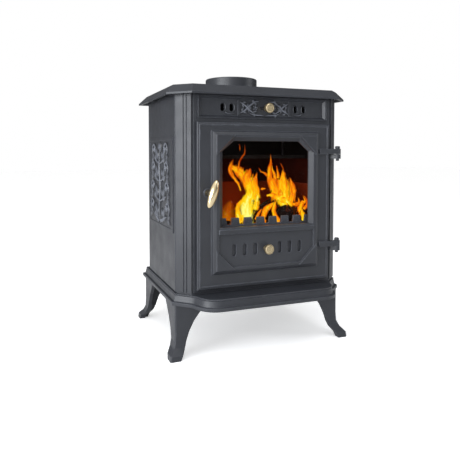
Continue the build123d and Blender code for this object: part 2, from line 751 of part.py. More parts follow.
def window_outline(grow):
    """Outline of the window with its two upper corners cut, grown by grow."""
    half = WINDOW_WIDTH / 2 + grow
    z0 = WINDOW_FOOT - grow
    z1 = WINDOW_HEAD + grow
    spread = 1 + 0.4 * grow / WINDOW_CORNER_Z
    cut_x = WINDOW_CORNER_X * spread
    cut_z = WINDOW_CORNER_Z * spread
    return [(-half, z0), (half, z0), (half, z1 - cut_z), (half - cut_x, z1),
            (-half + cut_x, z1), (-half, z1 - cut_z)]


def surround_levels():
    """Outer foot and head of the raised surround."""
    foot = DOOR_FOOT + SURROUND_LIFT
    return foot, DOOR_HEAD - SURROUND_DROP


def door_frame():
    """Door casting: beaded edge, raised surround, gussets, rail, slotted panel, hinge arms."""
    door = block(-HALF_DOOR, HALF_DOOR, DOOR_FRONT, DOOR_BACK, DOOR_FOOT, DOOR_HEAD)
    door = chamfer(door.faces().sort_by(Axis.Y)[0].edges(), 1.5)
    bead_out = HALF_DOOR - 4.5
    ring = beaded_ring(bead_out, DOOR_FOOT + 4.5, DOOR_HEAD - 4.5)
    door += ring
    foot, head = surround_levels()
    half = SURROUND_WIDTH / 2
    slope = SURROUND_SLOPE
    shoulder = 0.3 * slope
    door += skin([ring_y(rectangle(half, foot, head), DOOR_FRONT),
                  ring_y(rectangle(half - shoulder, foot + shoulder, head - shoulder),
                         DOOR_FRONT - 0.65 * SURROUND_RAISE),
                  ring_y(rectangle(half - slope, foot + slope, head - slope), RIDGE_FRONT)])
    land = slope + SURROUND_LAND
    upper = window_outline(SURROUND_SLOPE)
    inner_front = [(x, max(z, foot + land)) for x, z in upper]
    z_rail = WINDOW_FOOT
    cut = slope_y([(x, z_rail if z < z_rail else z) for x, z in inner_front], RIDGE_FRONT,
                  [(x, z_rail if z < z_rail else z) for x, z in window_outline(0)],
                  DOOR_BACK - GLASS_THICKNESS - TAPE_THICKNESS - WINDOW_LIP)
    door -= cut
    door -= plate_y(window_outline(0), RIDGE_FRONT - 1, DOOR_BACK)
    panel_half = half - land
    panel_low, panel_high = foot + land, z_rail - RAIL_HEIGHT
    door -= block(-panel_half, panel_half, RIDGE_FRONT - 1, PANEL_FRONT, panel_low, panel_high)
    top_edge = [(RIDGE_FRONT - 1.5, panel_high), (RIDGE_FRONT - 1.5, z_rail - 5),
                (DOOR_FRONT, z_rail), (DOOR_FRONT, panel_high)]
    rail = make_face(Polyline(*[(-panel_half, y, z) for y, z in top_edge], close=True))
    door += extrude(rail, 2 * panel_half, dir=(1, 0, 0))
    for sx in (-1, 1):
        for low_corner in (True, False):
            door += gusset(sx, low_corner, half - slope, foot + slope, head - slope)
    door -= block(-panel_half, panel_half, PANEL_FRONT + PANEL_WALL, DOOR_BACK,
                  panel_low + 4, panel_high - 6)
    door -= plate_y(rectangle(glass_half(), *glass_levels()),
                    DOOR_BACK - GLASS_THICKNESS - TAPE_THICKNESS, DOOR_BACK)
    door -= rope_ring(DOOR_BACK - ROPE_CHANNEL, DOOR_BACK, FIT / 2)
    for x in slot_places():
        door -= slot_y(x, DOOR_FOOT + AIR_SLOT_LIFT, AIR_SLOT_WIDTH, AIR_SLOT_HEIGHT,
                       PANEL_FRONT, PANEL_FRONT + PANEL_WALL)
    stem_room = STEM_RADIUS + FIT
    stem_z = DOOR_FOOT + AIR_SLOT_LIFT
    door -= block(PRIMARY_KNOB_REST - stem_room, PRIMARY_KNOB_REST + PRIMARY_TRAVEL + stem_room,
                  PANEL_FRONT, PANEL_FRONT + PANEL_WALL, stem_z - stem_room, stem_z + stem_room)
    door += slider_guides()
    handle_z = DOOR_FOOT + HANDLE_LIFT
    door += bar_y(HANDLE_X, handle_z, DOOR_FRONT - 3, DOOR_FRONT, BOSS_RADIUS)
    door -= bar_y(HANDLE_X, handle_z, DOOR_FRONT - 3, DOOR_BACK, SPINDLE_RADIUS + SPINDLE_PLAY)
    for arm_foot in hinge_levels():
        door += hinge_arm(arm_foot)
    return door


def beaded_ring(half, low, high):
    """Raised bead that runs round the door a little in from its edge."""
    ring = slope_y(rectangle(half, low, high), DOOR_FRONT,
                   rectangle(half - 0.8, low + 0.8, high - 0.8), DOOR_FRONT - BEAD_RAISE)
    inside = BEAD_WIDTH
    ring -= slope_y(rectangle(half - inside, low + inside, high - inside), DOOR_FRONT,
                    rectangle(half - inside + 0.8, low + inside - 0.8, high - inside + 0.8),
                    DOOR_FRONT - BEAD_RAISE)
    return ring


def gusset(sx, low_corner, half, low, high):
    """Triangular plate laid over one corner of the surround, with a bevelled long side."""
    corner_z = low if low_corner else high
    step = 1 if low_corner else -1

    def triangle(side):
        return [(sx * half, corner_z), (sx * (half - side), corner_z),
                (sx * half, corner_z + step * side)]

    return slope_y(triangle(GUSSET_SIDE), RIDGE_FRONT + 0.8 * PANEL_STEP,
                   triangle(GUSSET_SIDE - 4), RIDGE_FRONT - GUSSET_RAISE)


def slot_places():
    """Places of the air slots across the lower panel, clear of the knob."""
    first = AIR_SLOT_PITCH + PANEL_STEP + 1.2
    return [side * (first + step * AIR_SLOT_PITCH)
            for side in (-1, 1) for step in range(AIR_SLOTS_EACH_SIDE)]


def primary_half_length():
    """Half length of the lower slider plate."""
    return max(slot_places()) + AIR_SLOT_WIDTH / 2 + 4


def primary_half_height():
    """Half height of the lower slider plate."""
    return AIR_SLOT_HEIGHT / 2 + 3.5


def slider_guides():
    """Two lipped rails inside the door that carry the lower slider."""
    middle = DOOR_FOOT + AIR_SLOT_LIFT
    face = PANEL_FRONT + PANEL_WALL
    lip = face + SLIDER_THICKNESS + 2 * FIT
    half = SURROUND_WIDTH / 2 - SURROUND_SLOPE - SURROUND_LAND
    rails = None
    for sign in (-1, 1):
        edge = middle + sign * (primary_half_height() + FIT)
        foot, head = sorted((edge, edge + sign * 3))
        rail = block(-half, half, face, lip, foot, head)
        foot, head = sorted((edge - sign * 2.5, edge + sign * 3))
        rail += block(-half, half, lip, lip + 2, foot, head)
        rails = rail if rails is None else rails + rail
    return rails


def primary_air_slider():
    """Plate inside the door, closed as drawn; its slots meet the panel's once it is slid."""
    middle = DOOR_FOOT + AIR_SLOT_LIFT
    y0 = PANEL_FRONT + PANEL_WALL + FIT
    y1 = y0 + SLIDER_THICKNESS
    half = primary_half_length()
    plate = block(-half - PRIMARY_TRAVEL, half, y0, y1, middle - primary_half_height(),
                  middle + primary_half_height())
    for x in slot_places():
        plate -= slot_y(x - PRIMARY_TRAVEL, middle, AIR_SLOT_WIDTH, AIR_SLOT_HEIGHT, y0, y1)
    return plate


def primary_air_knob():
    """Knob of the lower air slider."""
    stem_end = PANEL_FRONT + PANEL_WALL + FIT
    return knob(PRIMARY_KNOB_REST, DOOR_FOOT + AIR_SLOT_LIFT, stem_end, PANEL_FRONT)


def hinge_arm(arm_foot):
    """Strap across the door's edge that ends in a knuckle round the hinge pin."""
    z1 = arm_foot + HINGE_ARM_HEIGHT
    front = HINGE_Y - HINGE_KNUCKLE_RADIUS + 0.8
    strap = [(HINGE_ARM_START, DOOR_FRONT), (HINGE_ARM_START + 3, front + 1.5),
             (HALF_DOOR, front), (HINGE_X, front), (HINGE_X, HINGE_Y + 3),
             (HALF_DOOR, HINGE_Y + 3)]
    strap = strap + [(HALF_DOOR, DOOR_FRONT)] if HINGE_Y + 3 > DOOR_FRONT else strap
    arm = upright(strap, arm_foot, z1) + post(HINGE_X, HINGE_Y, arm_foot, z1, HINGE_KNUCKLE_RADIUS)
    return arm - post(HINGE_X, HINGE_Y, arm_foot, z1, HINGE_PIN_RADIUS + HINGE_PIN_PLAY)


def hinge_pin(arm_foot):
    """Headed pin dropped through the door's knuckle and the lug below it."""
    head_foot = arm_foot + HINGE_ARM_HEIGHT + HINGE_RUNNING_GAP
    tail = arm_foot - HINGE_RUNNING_GAP - HINGE_LUG_HEIGHT - 5
    pin = post(HINGE_X, HINGE_Y, tail, head_foot, HINGE_PIN_RADIUS)
    head = post(HINGE_X, HINGE_Y, head_foot, head_foot + 6, 1.6 * HINGE_PIN_RADIUS)
    head = chamfer(head.edges().group_by(Axis.Z)[-1], 1.5)
    return pin + head


def glass_half():
    """Half width of the glass pocket."""
    return WINDOW_WIDTH / 2 + GLASS_LAP


def glass_levels():
    """Lower and upper edge of the glass pocket."""
    return WINDOW_FOOT - GLASS_LAP, WINDOW_HEAD + GLASS_LAP


def door_glass():
    """Flat ceramic glass in its pocket behind the window."""
    low, high = glass_levels()
    y1 = DOOR_BACK
    return plate_y(rectangle(glass_half() - 1, low + 1, high - 1), y1 - GLASS_THICKNESS, y1)


def glass_tape():
    """Flat seal between the glass and the door casting."""
    low, high = glass_levels()
    y0 = DOOR_BACK - GLASS_THICKNESS - TAPE_THICKNESS
    y1 = DOOR_BACK - GLASS_THICKNESS
    half = glass_half() - 1
    outer = plate_y(rectangle(half, low + 1, high - 1), y0, y1)
    inner = rectangle(half - TAPE_WIDTH, low + 1 + TAPE_WIDTH, high - 1 - TAPE_WIDTH)
    return outer - plate_y(inner, y0, y1)


def clip_places():
    """Middles of the four glass clips."""
    low, high = glass_levels()
    x = glass_half()
    return [(side * x, z) for side in (-1, 1) for z in (low + CLIP_INSET, high - CLIP_INSET)]


def glass_clips():
    """Four flat clips that press the glass against its seal."""
    clips = []
    for x, z in clip_places():
        inward = -1 if x > 0 else 1
        x0, x1 = sorted((x + inward * 8, x - inward * 12))
        clip = block(x0, x1, DOOR_BACK, DOOR_BACK + 2, z - 9, z + 9)
        clip -= bar_y(x - inward * 6, z, DOOR_BACK, DOOR_BACK + 2, 2.5 + FIT)
        clips.append(clip)
    return Compound(children=clips)


def glass_screws():
    """Hexagon-headed screws through the clips into the door."""
    screws = []
    for x, z in clip_places():
        inward = -1 if x > 0 else 1
        sx = x - inward * 6
        place = Plane(origin=(sx, DOOR_BACK + 2, z), x_dir=(1, 0, 0), z_dir=(0, 1, 0))
        head = extrude(place * RegularPolygon(4.0, 6, major_radius=False), 2.5)
        screws.append(head + bar_y(sx, z, DOOR_BACK, DOOR_BACK + 2, 2.5))
    return Compound(children=screws)


def rope_ring(y0, y1, grow):
    """Rounded rectangular ring that the door rope and its channel share."""
    middle = HALF_DOOR - DOOR_OVERLAP / 2
    low = DOOR_FOOT + DOOR_OVERLAP / 2
    high = DOOR_HEAD - DOOR_OVERLAP / 2
    out = ROPE_WIDTH / 2 + grow
    outer = plate_y(rectangle(middle + out, low - out, high + out), y0, y1)
    outer = fillet(outer.edges().filter_by(Axis.Y), 8)
    inner = plate_y(rectangle(middle - out, low + out, high - out), y0, y1)
    return outer - inner


def door_rope():
    """Rope seal in the door's channel, pressed against the front frame."""
    return rope_ring(DOOR_BACK - ROPE_CHANNEL, FRONT_Y - FIT, 0)


def door_handle():
    """Polished oval grip on a tapered neck, leaning as it hangs."""
    z = DOOR_FOOT + HANDLE_LIFT
    centre_y = DOOR_FRONT - HANDLE_REACH
    half_long, half_wide = HANDLE_LENGTH / 2, HANDLE_WIDTH / 2
    steps = [math.radians(-90 + 20 * step) for step in range(10)]
    edge = [(half_wide * math.cos(turn), 0, half_long * math.sin(turn)) for turn in steps]
    oval = revolve(make_face(Polyline(*edge, close=True)), Axis.Z)
    grip = Pos(HANDLE_X, centre_y, z) * Rot(0, HANDLE_LEAN, 0) * oval
    neck_back = DOOR_FRONT - 3 - FIT
    neck = Pos(HANDLE_X, (centre_y + neck_back) / 2, z) * Rot(-90, 0, 0) * Cone(
        0.5 * half_wide, 0.72 * half_wide, neck_back - centre_y)
    return grip + neck - bar_y(HANDLE_X, z, centre_y + 6, neck_back, SPINDLE_RADIUS - 1)


def spindle():
    """Turned bar through the door between the handle and the latch tongue."""
    z = DOOR_FOOT + HANDLE_LIFT
    neck_back = DOOR_FRONT - 3 - FIT
    front = DOOR_FRONT - HANDLE_REACH + 6
    tongue_back = FRAME_BACK + TONGUE_GAP + TONGUE_THICKNESS
    tenon = SPINDLE_RADIUS - 1
    bar = bar_y(HANDLE_X, z, neck_back, tongue_back - TONGUE_THICKNESS, SPINDLE_RADIUS)
    bar += bar_y(HANDLE_X, z, front, neck_back, tenon)
    return bar + bar_y(HANDLE_X, z, tongue_back - TONGUE_THICKNESS, tongue_back + 7, tenon)


def latch_tongue():
    """Cam on the spindle's inner end; upright it is clear, turned it sits behind the frame."""
    z = DOOR_FOOT + HANDLE_LIFT
    y0 = FRAME_BACK + TONGUE_GAP
    y1 = y0 + TONGUE_THICKNESS
    half = TONGUE_WIDTH / 2
    tongue = bar_y(HANDLE_X, z, y0, y1, half)
    tongue += block(HANDLE_X - half, HANDLE_X + half, y0, y1, z, z + TONGUE_LENGTH - half)
    tongue += bar_y(HANDLE_X, z + TONGUE_LENGTH - half, y0, y1, half)
    return tongue - bar_y(HANDLE_X, z, y0, y1, SPINDLE_RADIUS - 1)


def spindle_nut():
    """Nut that holds the tongue on the spindle."""
    z = DOOR_FOOT + HANDLE_LIFT
    y0 = FRAME_BACK + TONGUE_GAP + TONGUE_THICKNESS
    place = Plane(origin=(HANDLE_X, y0, z), x_dir=(1, 0, 0), z_dir=(0, 1, 0))
    nut = extrude(place * RegularPolygon(1.4 * SPINDLE_RADIUS, 6, major_radius=False), 5)
    return nut - bar_y(HANDLE_X, z, y0, y0 + 5, SPINDLE_RADIUS - 1)


# Firebox

def firebox_floor():
    """Cast floor on the side ledges, open in the middle for the grate."""
    half = INSIDE_X - FIT
    plate = block(-half, half, FRAME_BACK + CORNER_CUT - 21, INSIDE_REAR - FIT, FLOOR_Z, HEARTH_Z)
    y_mid = grate_middle()
    plate -= block(-GRATE_WIDTH / 2, GRATE_WIDTH / 2, y_mid - GRATE_DEPTH / 2,
                   y_mid + GRATE_DEPTH / 2, FLOOR_Z + 4, HEARTH_Z)
    plate -= block(-GRATE_WIDTH / 2 + 8, GRATE_WIDTH / 2 - 8, y_mid - GRATE_DEPTH / 2 + 8,
                   y_mid + GRATE_DEPTH / 2 - 8, FLOOR_Z, HEARTH_Z)
    for side in (-1, 1):
        reach = 2 * CORNER_CUT
        cut = [(side * INSIDE_X, FRONT_Y), (side * INSIDE_X, FRAME_BACK + reach / 2 + 8),
               (side * (INSIDE_X - reach / 2 - 8), FRONT_Y)]
        plate -= upright(cut, FLOOR_Z, HEARTH_Z)
    for x, y in tie_places():
        plate -= post(x, y, FLOOR_Z, HEARTH_Z, TIE_RADIUS + 2)
    return plate


def grate_middle():
    """Depth of the middle of the grate."""
    return BODY_CENTRE_Y - 4


def fire_grate():
    """Drop-in grate with slots from front to back and bars that taper downward."""
    y_mid = grate_middle()
    half_x, half_y = GRATE_WIDTH / 2 - 1, GRATE_DEPTH / 2 - 1
    grate = block(-half_x, half_x, y_mid - half_y, y_mid + half_y, FLOOR_Z + 4, HEARTH_Z)
    pitch = (2 * half_x - 20) / (GRATE_BARS + 1)
    slot_half = half_y - 14
    for step in range(GRATE_BARS + 1):
        x = -half_x + 10 + pitch * (step + 0.5)
        top = [(x - GRATE_SLOT / 2, HEARTH_Z), (x + GRATE_SLOT / 2, HEARTH_Z),
               (x + GRATE_SLOT / 2 + 1.2, FLOOR_Z + 4), (x - GRATE_SLOT / 2 - 1.2, FLOOR_Z + 4)]
        grate -= plate_y(top, y_mid - slot_half, y_mid + slot_half)
    return grate


def log_guard():
    """Upright front bar with merlons that keeps the logs off the glass."""
    y0 = FRAME_BACK + GUARD_SETBACK - GUARD_THICKNESS
    y1 = y0 + GUARD_THICKNESS
    half = MERLONS * MERLON_PITCH / 2 - 6
    crest = HEARTH_Z + GUARD_HEIGHT - MERLON_HEIGHT
    guard = block(-half, half, y0, y1, HEARTH_Z, crest)
    for step in range(MERLONS):
        x = (step - (MERLONS - 1) / 2) * MERLON_PITCH
        tooth = [(x - MERLON_FOOT / 2, crest), (x + MERLON_FOOT / 2, crest),
                 (x + MERLON_TOP / 2, crest + MERLON_HEIGHT), (x - MERLON_TOP / 2, crest + MERLON_HEIGHT)]
        guard += plate_y(tooth, y0, y1)
    guard += block(-half, half, y1, y1 + 8, HEARTH_Z, HEARTH_Z + 6)
    return guard


def brick_levels():
    """Lower and upper edge of each course of brick."""
    low = HEARTH_Z
    seam = low + LOWER_COURSE
    return {"lower": (low, seam), "upper": (seam, seam + UPPER_COURSE)}


def back_brick(course):
    """Brick across the back of the firebox."""
    z0, z1 = brick_levels()[course]
    half = INSIDE_X - BRICK_THICKNESS - 2 * FIT
    y1 = INSIDE_REAR - FIT
    return block(-half, half, y1 - BRICK_THICKNESS, y1, z0, z1 - FIT)


def side_brick(side, course):
    """Brick along one side of the firebox."""
    z0, z1 = brick_levels()[course]
    x0, x1 = sorted((side * (INSIDE_X - FIT), side * (INSIDE_X - FIT - BRICK_THICKNESS)))
    rear = INSIDE_REAR - BRICK_THICKNESS - 2 * FIT
    return block(x0, x1, FRONT_Y + BRICK_FRONT_MARGIN, rear, z0, z1 - FIT)


def baffle_plate():
    """Flat throat plate on the side bricks, with a gap in front for the smoke."""
    z0 = brick_levels()["upper"][1]
    half = INSIDE_X - BRICK_THICKNESS / 2
    y1 = INSIDE_REAR - FIT
    plate = block(-half, half, y1 - BAFFLE_DEPTH, y1, z0, z0 + BAFFLE_THICKNESS)
    for x, y in tie_places():
        plate -= post(x, y, z0, z0 + BAFFLE_THICKNESS, TIE_RADIUS + 2)
    return plate


# Ash pan

def pan_front():
    """Depth of the ash pan's front wall."""
    return FRAME_BACK + 8


def ash_pan():
    """Folded sheet pan that stands on the base plate's rails."""
    z0 = MOUTH_FOOT
    y0 = pan_front()
    half = PAN_WIDTH / 2
    pan = block(-half, half, y0, y0 + PAN_DEPTH, z0, z0 + PAN_HEIGHT)
    inner = half - PAN_SHEET
    pan -= block(-inner, inner, y0 + PAN_SHEET, y0 + PAN_DEPTH - PAN_SHEET,
                 z0 + PAN_SHEET, z0 + PAN_HEIGHT)
    pan += block(-half - 3, -half, y0, y0 + PAN_DEPTH, z0 + PAN_HEIGHT - PAN_SHEET, z0 + PAN_HEIGHT)
    pan += block(half, half + 3, y0, y0 + PAN_DEPTH, z0 + PAN_HEIGHT - PAN_SHEET, z0 + PAN_HEIGHT)
    return pan


def ash_pan_handle():
    """Bent bar grip on the front of the ash pan."""
    y = pan_front()
    z = MOUTH_FOOT + 0.6 * PAN_HEIGHT
    half = PAN_GRIP_WIDTH / 2
    thick = PAN_GRIP_BAR / 2
    inner = y - PAN_GRIP_REACH + PAN_GRIP_BAR
    bar = block(-half, half, y - PAN_GRIP_REACH, inner, z - thick, z + thick)
    for side in (-1, 1):
        x0, x1 = sorted((side * half, side * (half - PAN_GRIP_BAR)))
        bar += block(x0, x1, inner, y, z - thick, z + thick)
    return bar


PIECES = {
    "base_plate": base_plate,
    "leg_front_left": lambda: placed_leg("leg_front_left"),
    "leg_front_right": lambda: placed_leg("leg_front_right"),
    "leg_rear_left": lambda: placed_leg("leg_rear_left"),
    "leg_rear_right": lambda: placed_leg("leg_rear_right"),
    "leg_bolts": leg_bolts,
    "side_panel_left": lambda: side_panel(-1),
    "side_panel_right": lambda: side_panel(1),
    "corner_post_left": lambda: corner_post(-1),
    "corner_post_right": lambda: corner_post(1),
    "back_panel": back_panel,
    "front_frame": front_frame,
    "tie_rods": tie_rods,
    "top_plate": top_plate,
    "flue_collar": flue_collar,
    "collar_bolts": collar_bolts,
    "frieze_panel": frieze_panel,
    "airwash_slider": airwash_slider,
    "airwash_knob": airwash_knob,
    "air_duct": air_duct,
    "door_frame": door_frame,
    "door_glass": door_glass,
    "glass_tape": glass_tape,
    "glass_clips": glass_clips,
    "glass_screws": glass_screws,
    "door_rope": door_rope,
    "primary_air_slider": primary_air_slider,
    "primary_air_knob": primary_air_knob,
    "hinge_pin_upper": lambda: hinge_pin(hinge_levels()[0]),
    "hinge_pin_lower": lambda: hinge_pin(hinge_levels()[1]),
    "door_handle": door_handle,
    "handle_spindle": spindle,
    "latch_tongue": latch_tongue,
    "spindle_nut": spindle_nut,
    "firebox_floor": firebox_floor,
    "fire_grate": fire_grate,
    "log_guard": log_guard,
    "back_brick_lower": lambda: back_brick("lower"),
    "back_brick_upper": lambda: back_brick("upper"),
    "side_brick_left_lower": lambda: side_brick(-1, "lower"),
    "side_brick_left_upper": lambda: side_brick(-1, "upper"),
    "side_brick_right_lower": lambda: side_brick(1, "lower"),
    "side_brick_right_upper": lambda: side_brick(1, "upper"),
    "baffle_plate": baffle_plate,
    "ash_pan": ash_pan,
    "ash_pan_handle": ash_pan_handle,
}

for name, make in PIECES.items():
    export_step(make(), os.path.join("parts", name + ".step"))
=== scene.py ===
"""Looks of a small cast iron stove: paint, brass, relief, fire and a plain studio."""

import math

import bpy
from mathutils import Matrix, Vector, noise


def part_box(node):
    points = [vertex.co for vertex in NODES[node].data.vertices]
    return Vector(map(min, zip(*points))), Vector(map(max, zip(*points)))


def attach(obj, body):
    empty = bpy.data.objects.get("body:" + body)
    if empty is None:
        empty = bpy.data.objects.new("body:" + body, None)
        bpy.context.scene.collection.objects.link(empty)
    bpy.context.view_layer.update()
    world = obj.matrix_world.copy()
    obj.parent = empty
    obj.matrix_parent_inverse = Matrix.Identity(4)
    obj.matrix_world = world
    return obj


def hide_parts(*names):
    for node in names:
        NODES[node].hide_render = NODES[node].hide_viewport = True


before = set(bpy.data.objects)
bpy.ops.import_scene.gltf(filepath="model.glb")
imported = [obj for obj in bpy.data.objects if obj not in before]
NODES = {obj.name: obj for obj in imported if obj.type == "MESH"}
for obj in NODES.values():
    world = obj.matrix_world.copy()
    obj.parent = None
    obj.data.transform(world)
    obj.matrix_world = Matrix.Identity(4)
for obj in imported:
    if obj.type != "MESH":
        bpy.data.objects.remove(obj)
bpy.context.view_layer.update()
MM = 0.001

bl_info = {
    "name": "Cast iron stove",
    "version": (1, 0, 0),
    "blender": (4, 5, 0),
    "location": "3D View > Sidebar > Stove",
    "description": "Dresses the stove's castings and builds its relief, fire and studio",
    "category": "Object",
}

FRIEZE_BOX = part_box("frieze_panel")
GRATE_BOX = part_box("fire_grate")
HANDLE_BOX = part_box("door_handle")

# Nodes by finish. Soot-lined castings are painted outside and black inside the chamber.
PAINTED = (
    "base_plate", "leg_front_left", "leg_front_right", "leg_rear_left", "leg_rear_right",
    "corner_post_left", "corner_post_right", "flue_collar", "frieze_panel", "airwash_slider",
    "primary_air_slider", "hinge_pin_upper", "hinge_pin_lower",
)
SOOT_LINED = ("side_panel_left", "side_panel_right", "back_panel", "front_frame", "top_plate")
SOOTED = ("firebox_floor", "fire_grate", "baffle_plate", "air_duct")
FITTINGS = (
    "leg_bolts", "tie_rods", "collar_bolts", "glass_clips", "glass_screws", "handle_spindle",
    "latch_tongue", "spindle_nut", "ash_pan", "ash_pan_handle",
)
ROPES = ("door_rope", "glass_tape")
KNOBS = ("airwash_knob", "primary_air_knob")
# Brick courses: material, nodes, dark, middle and pale clay, and how deeply soot covers it.
BRICK_COURSES = (
    ("fire_brick", ("back_brick_lower", "side_brick_left_lower", "side_brick_right_lower"),
     (0.07, 0.014, 0.006), (0.22, 0.045, 0.015), (0.36, 0.10, 0.03), 0.75),
    ("sooted_brick", ("back_brick_upper", "side_brick_left_upper", "side_brick_right_upper"),
     (0.012, 0.002, 0.001), (0.035, 0.006, 0.003), (0.07, 0.012, 0.006), 0.95),
)

# Finishes. The sand grain is a noise of this scale, detail and roughness.
SAND_GRAIN = (420.0, 3.0, 0.65)
# Bevel radii of the soft edges. They also set how wide the paler edges are, which are partly wear
# and partly a painted highlight.
EDGE_RADIUS = 1.1 * MM
DOOR_EDGE_RADIUS = 2.6 * MM
# Edges of the castings are made this many times paler, partly as wear and partly as a painted
# highlight.
EDGE_WEAR_AND_HIGHLIGHT = 3.2
# The log guard's paint is made this many times paler, a painted light for the light that falls on it
# through the glass.
GUARD_PAINTED_LIGHT = 2.6
GUARD_ROUGHNESS = 0.6
PAINT_GLOSS = 0.38
SOOT = (0.004, 0.0035, 0.003)
SOOT_ROUGHNESS = 0.95
BRICK_SOOT = (0.006, 0.003, 0.003)
STEEL_DARK = (0.14, 0.14, 0.145)
STEEL_LIGHT = (0.3, 0.3, 0.31)
KNOB_SHADE = 0.8
KNOB_RING_PITCH = 3.4 * MM

# Corners of the fire chamber, whose walls are sooted.
CHAMBER = ((-0.1915, -0.1195, 0.242), (0.1915, 0.1365, 0.5782))
# Distance of the side panels' fields from the middle, and the middle of a field in y and z.
RELIEF_FACE = 199.25 * MM
FIELD_MIDDLE = (16.5 * MM, 371.0 * MM)
# Depth of the frieze's field behind its front.
FRIEZE_RECESS = 5.5 * MM
# Relief has its full painted highlight from this share of its height up, and its edges lie this deep
# in the face.
CREST_SHARE = 0.9
SINK = 0.0002
# Smallest radius of a ring at a pole, so that no face has zero area.
POLE = 0.00002


# Node trees

class Nodes:
    """Builds the node tree of a material or a world in few words."""

    def __init__(self, owner, shader="Principled BSDF"):
        owner.use_nodes = True
        self.owner = owner
        self.tree = owner.node_tree
        self.shader = self.tree.nodes[shader]

    def add(self, kind, **values):
        """A new node, with settings and unlinked inputs by name."""
        node = self.tree.nodes.new(kind)
        for key, value in values.items():
            if hasattr(node, key):
                setattr(node, key, value)
            else:
                node.inputs[key].default_value = value
        return node

    def link(self, source, target):
        self.tree.links.new(source, target)

    def set(self, **values):
        """Uniform values on the shader."""
        for key, value in values.items():
            self.shader.inputs[key.replace("_", " ")].default_value = value

    def feed(self, **sources):
        """Textures on the shader."""
        for key, source in sources.items():
            self.link(source, self.shader.inputs[key.replace("_", " ")])

    def coordinates(self):
        return self.add("ShaderNodeTexCoord").outputs["Object"]

    def axis(self, source, name):
        split = self.add("ShaderNodeSeparateXYZ")
        self.link(source, split.inputs[0])
        return split.outputs[name]

    def layer(self, name):
        return self.add("ShaderNodeUVMap", uv_map=name).outputs["UV"]

    def texture(self, kind, stretch=None, **values):
        """A texture node that is fixed to the shared frame."""
        node = self.add(kind, **values)
        place = self.coordinates()
        if stretch:
            mapping = self.add("ShaderNodeMapping", Scale=stretch)
            self.link(place, mapping.inputs["Vector"])
            place = mapping.outputs["Vector"]
        self.link(place, node.inputs["Vector"])
        return node

    def noise(self, scale, detail=4.0, roughness=0.55, distortion=0.0, stretch=None):
        return self.texture("ShaderNodeTexNoise", stretch, Scale=scale, Detail=detail,
                            Roughness=roughness, Distortion=distortion).outputs["Fac"]

    def ramp(self, source, stops):
        """Colours between stops, each a position and a colour."""
        node = self.add("ShaderNodeValToRGB")
        band = node.color_ramp
        while len(band.elements) < len(stops):
            band.elements.new(0.5)
        for element, (place, colour) in zip(band.elements, stops):
            element.position = place
            element.color = (*colour, 1.0)
        self.link(source, node.inputs["Fac"])
        return node.outputs["Color"]

    def grey_ramp(self, source, stops):
        return self.ramp(source, [(place, (value, value, value)) for place, value in stops])

    def maths(self, operation, first, second=0.0):
        node = self.add("ShaderNodeMath", operation=operation)
        for slot, value in enumerate((first, second)):
            if isinstance(value, (int, float)):
                node.inputs[slot].default_value = value
            else:
                self.link(value, node.inputs[slot])
        return node.outputs[0]

    def vector_maths(self, operation, first, second=None):
        node = self.add("ShaderNodeVectorMath", operation=operation)
        self.link(first, node.inputs[0])
        if isinstance(second, tuple):
            node.inputs[1].default_value = second
        elif second is not None:
            self.link(second, node.inputs[1])
        return node.outputs["Value" if operation in ("DOT_PRODUCT", "LENGTH") else "Vector"]

    def mix(self, share, first, second):
        """Blends two colours. The colour sockets of the node are 6 and 7."""
        node = self.add("ShaderNodeMix", data_type="RGBA")
        for slot, value in ((0, share), (6, first), (7, second)):
            if isinstance(value, tuple):
                node.inputs[slot].default_value = (*value, 1.0)
            else:
                self.link(value, node.inputs[slot])
        return node.outputs[2]

    def bump(self, height, distance, strength=1.0, normal=None):
        node = self.add("ShaderNodeBump", Distance=distance, Strength=strength)
        self.link(height, node.inputs["Height"])
        if normal is not None:
            self.link(normal, node.inputs["Normal"])
        return node.outputs["Normal"]

    def camera_ray(self):
        return self.add("ShaderNodeLightPath").outputs["Is Camera Ray"]

    def within(self, low, high):
        """1 inside a box of the shared frame, 0 outside it."""
        inside = 1.0
        for name, start, end in zip("XYZ", low, high):
            off = self.maths("SUBTRACT", self.axis(self.coordinates(), name), (start + end) / 2)
            near = self.maths("LESS_THAN", self.maths("ABSOLUTE", off), (end - start) / 2)
            inside = self.maths("MULTIPLY", near, inside)
        return inside

    def soft_edges(self, radius):
        return self.add("ShaderNodeBevel", samples=4, Radius=radius).outputs["Normal"]

    def edge_mask(self, softened):
        """High where the softened normal leaves the face, which is along the edges."""
        face = self.add("ShaderNodeNewGeometry").outputs["True Normal"]
        match = self.vector_maths("DOT_PRODUCT", softened, face)
        return self.grey_ramp(match, [(0.86, 1.0), (0.995, 0.0)])


def material_nodes(name):
    return Nodes(bpy.data.materials.new(name))


def scaled(colour, factor):
    return tuple(min(1.0, channel * factor) for channel in colour)


# Materials. Each ramp lists positions on its texture and the tones there.

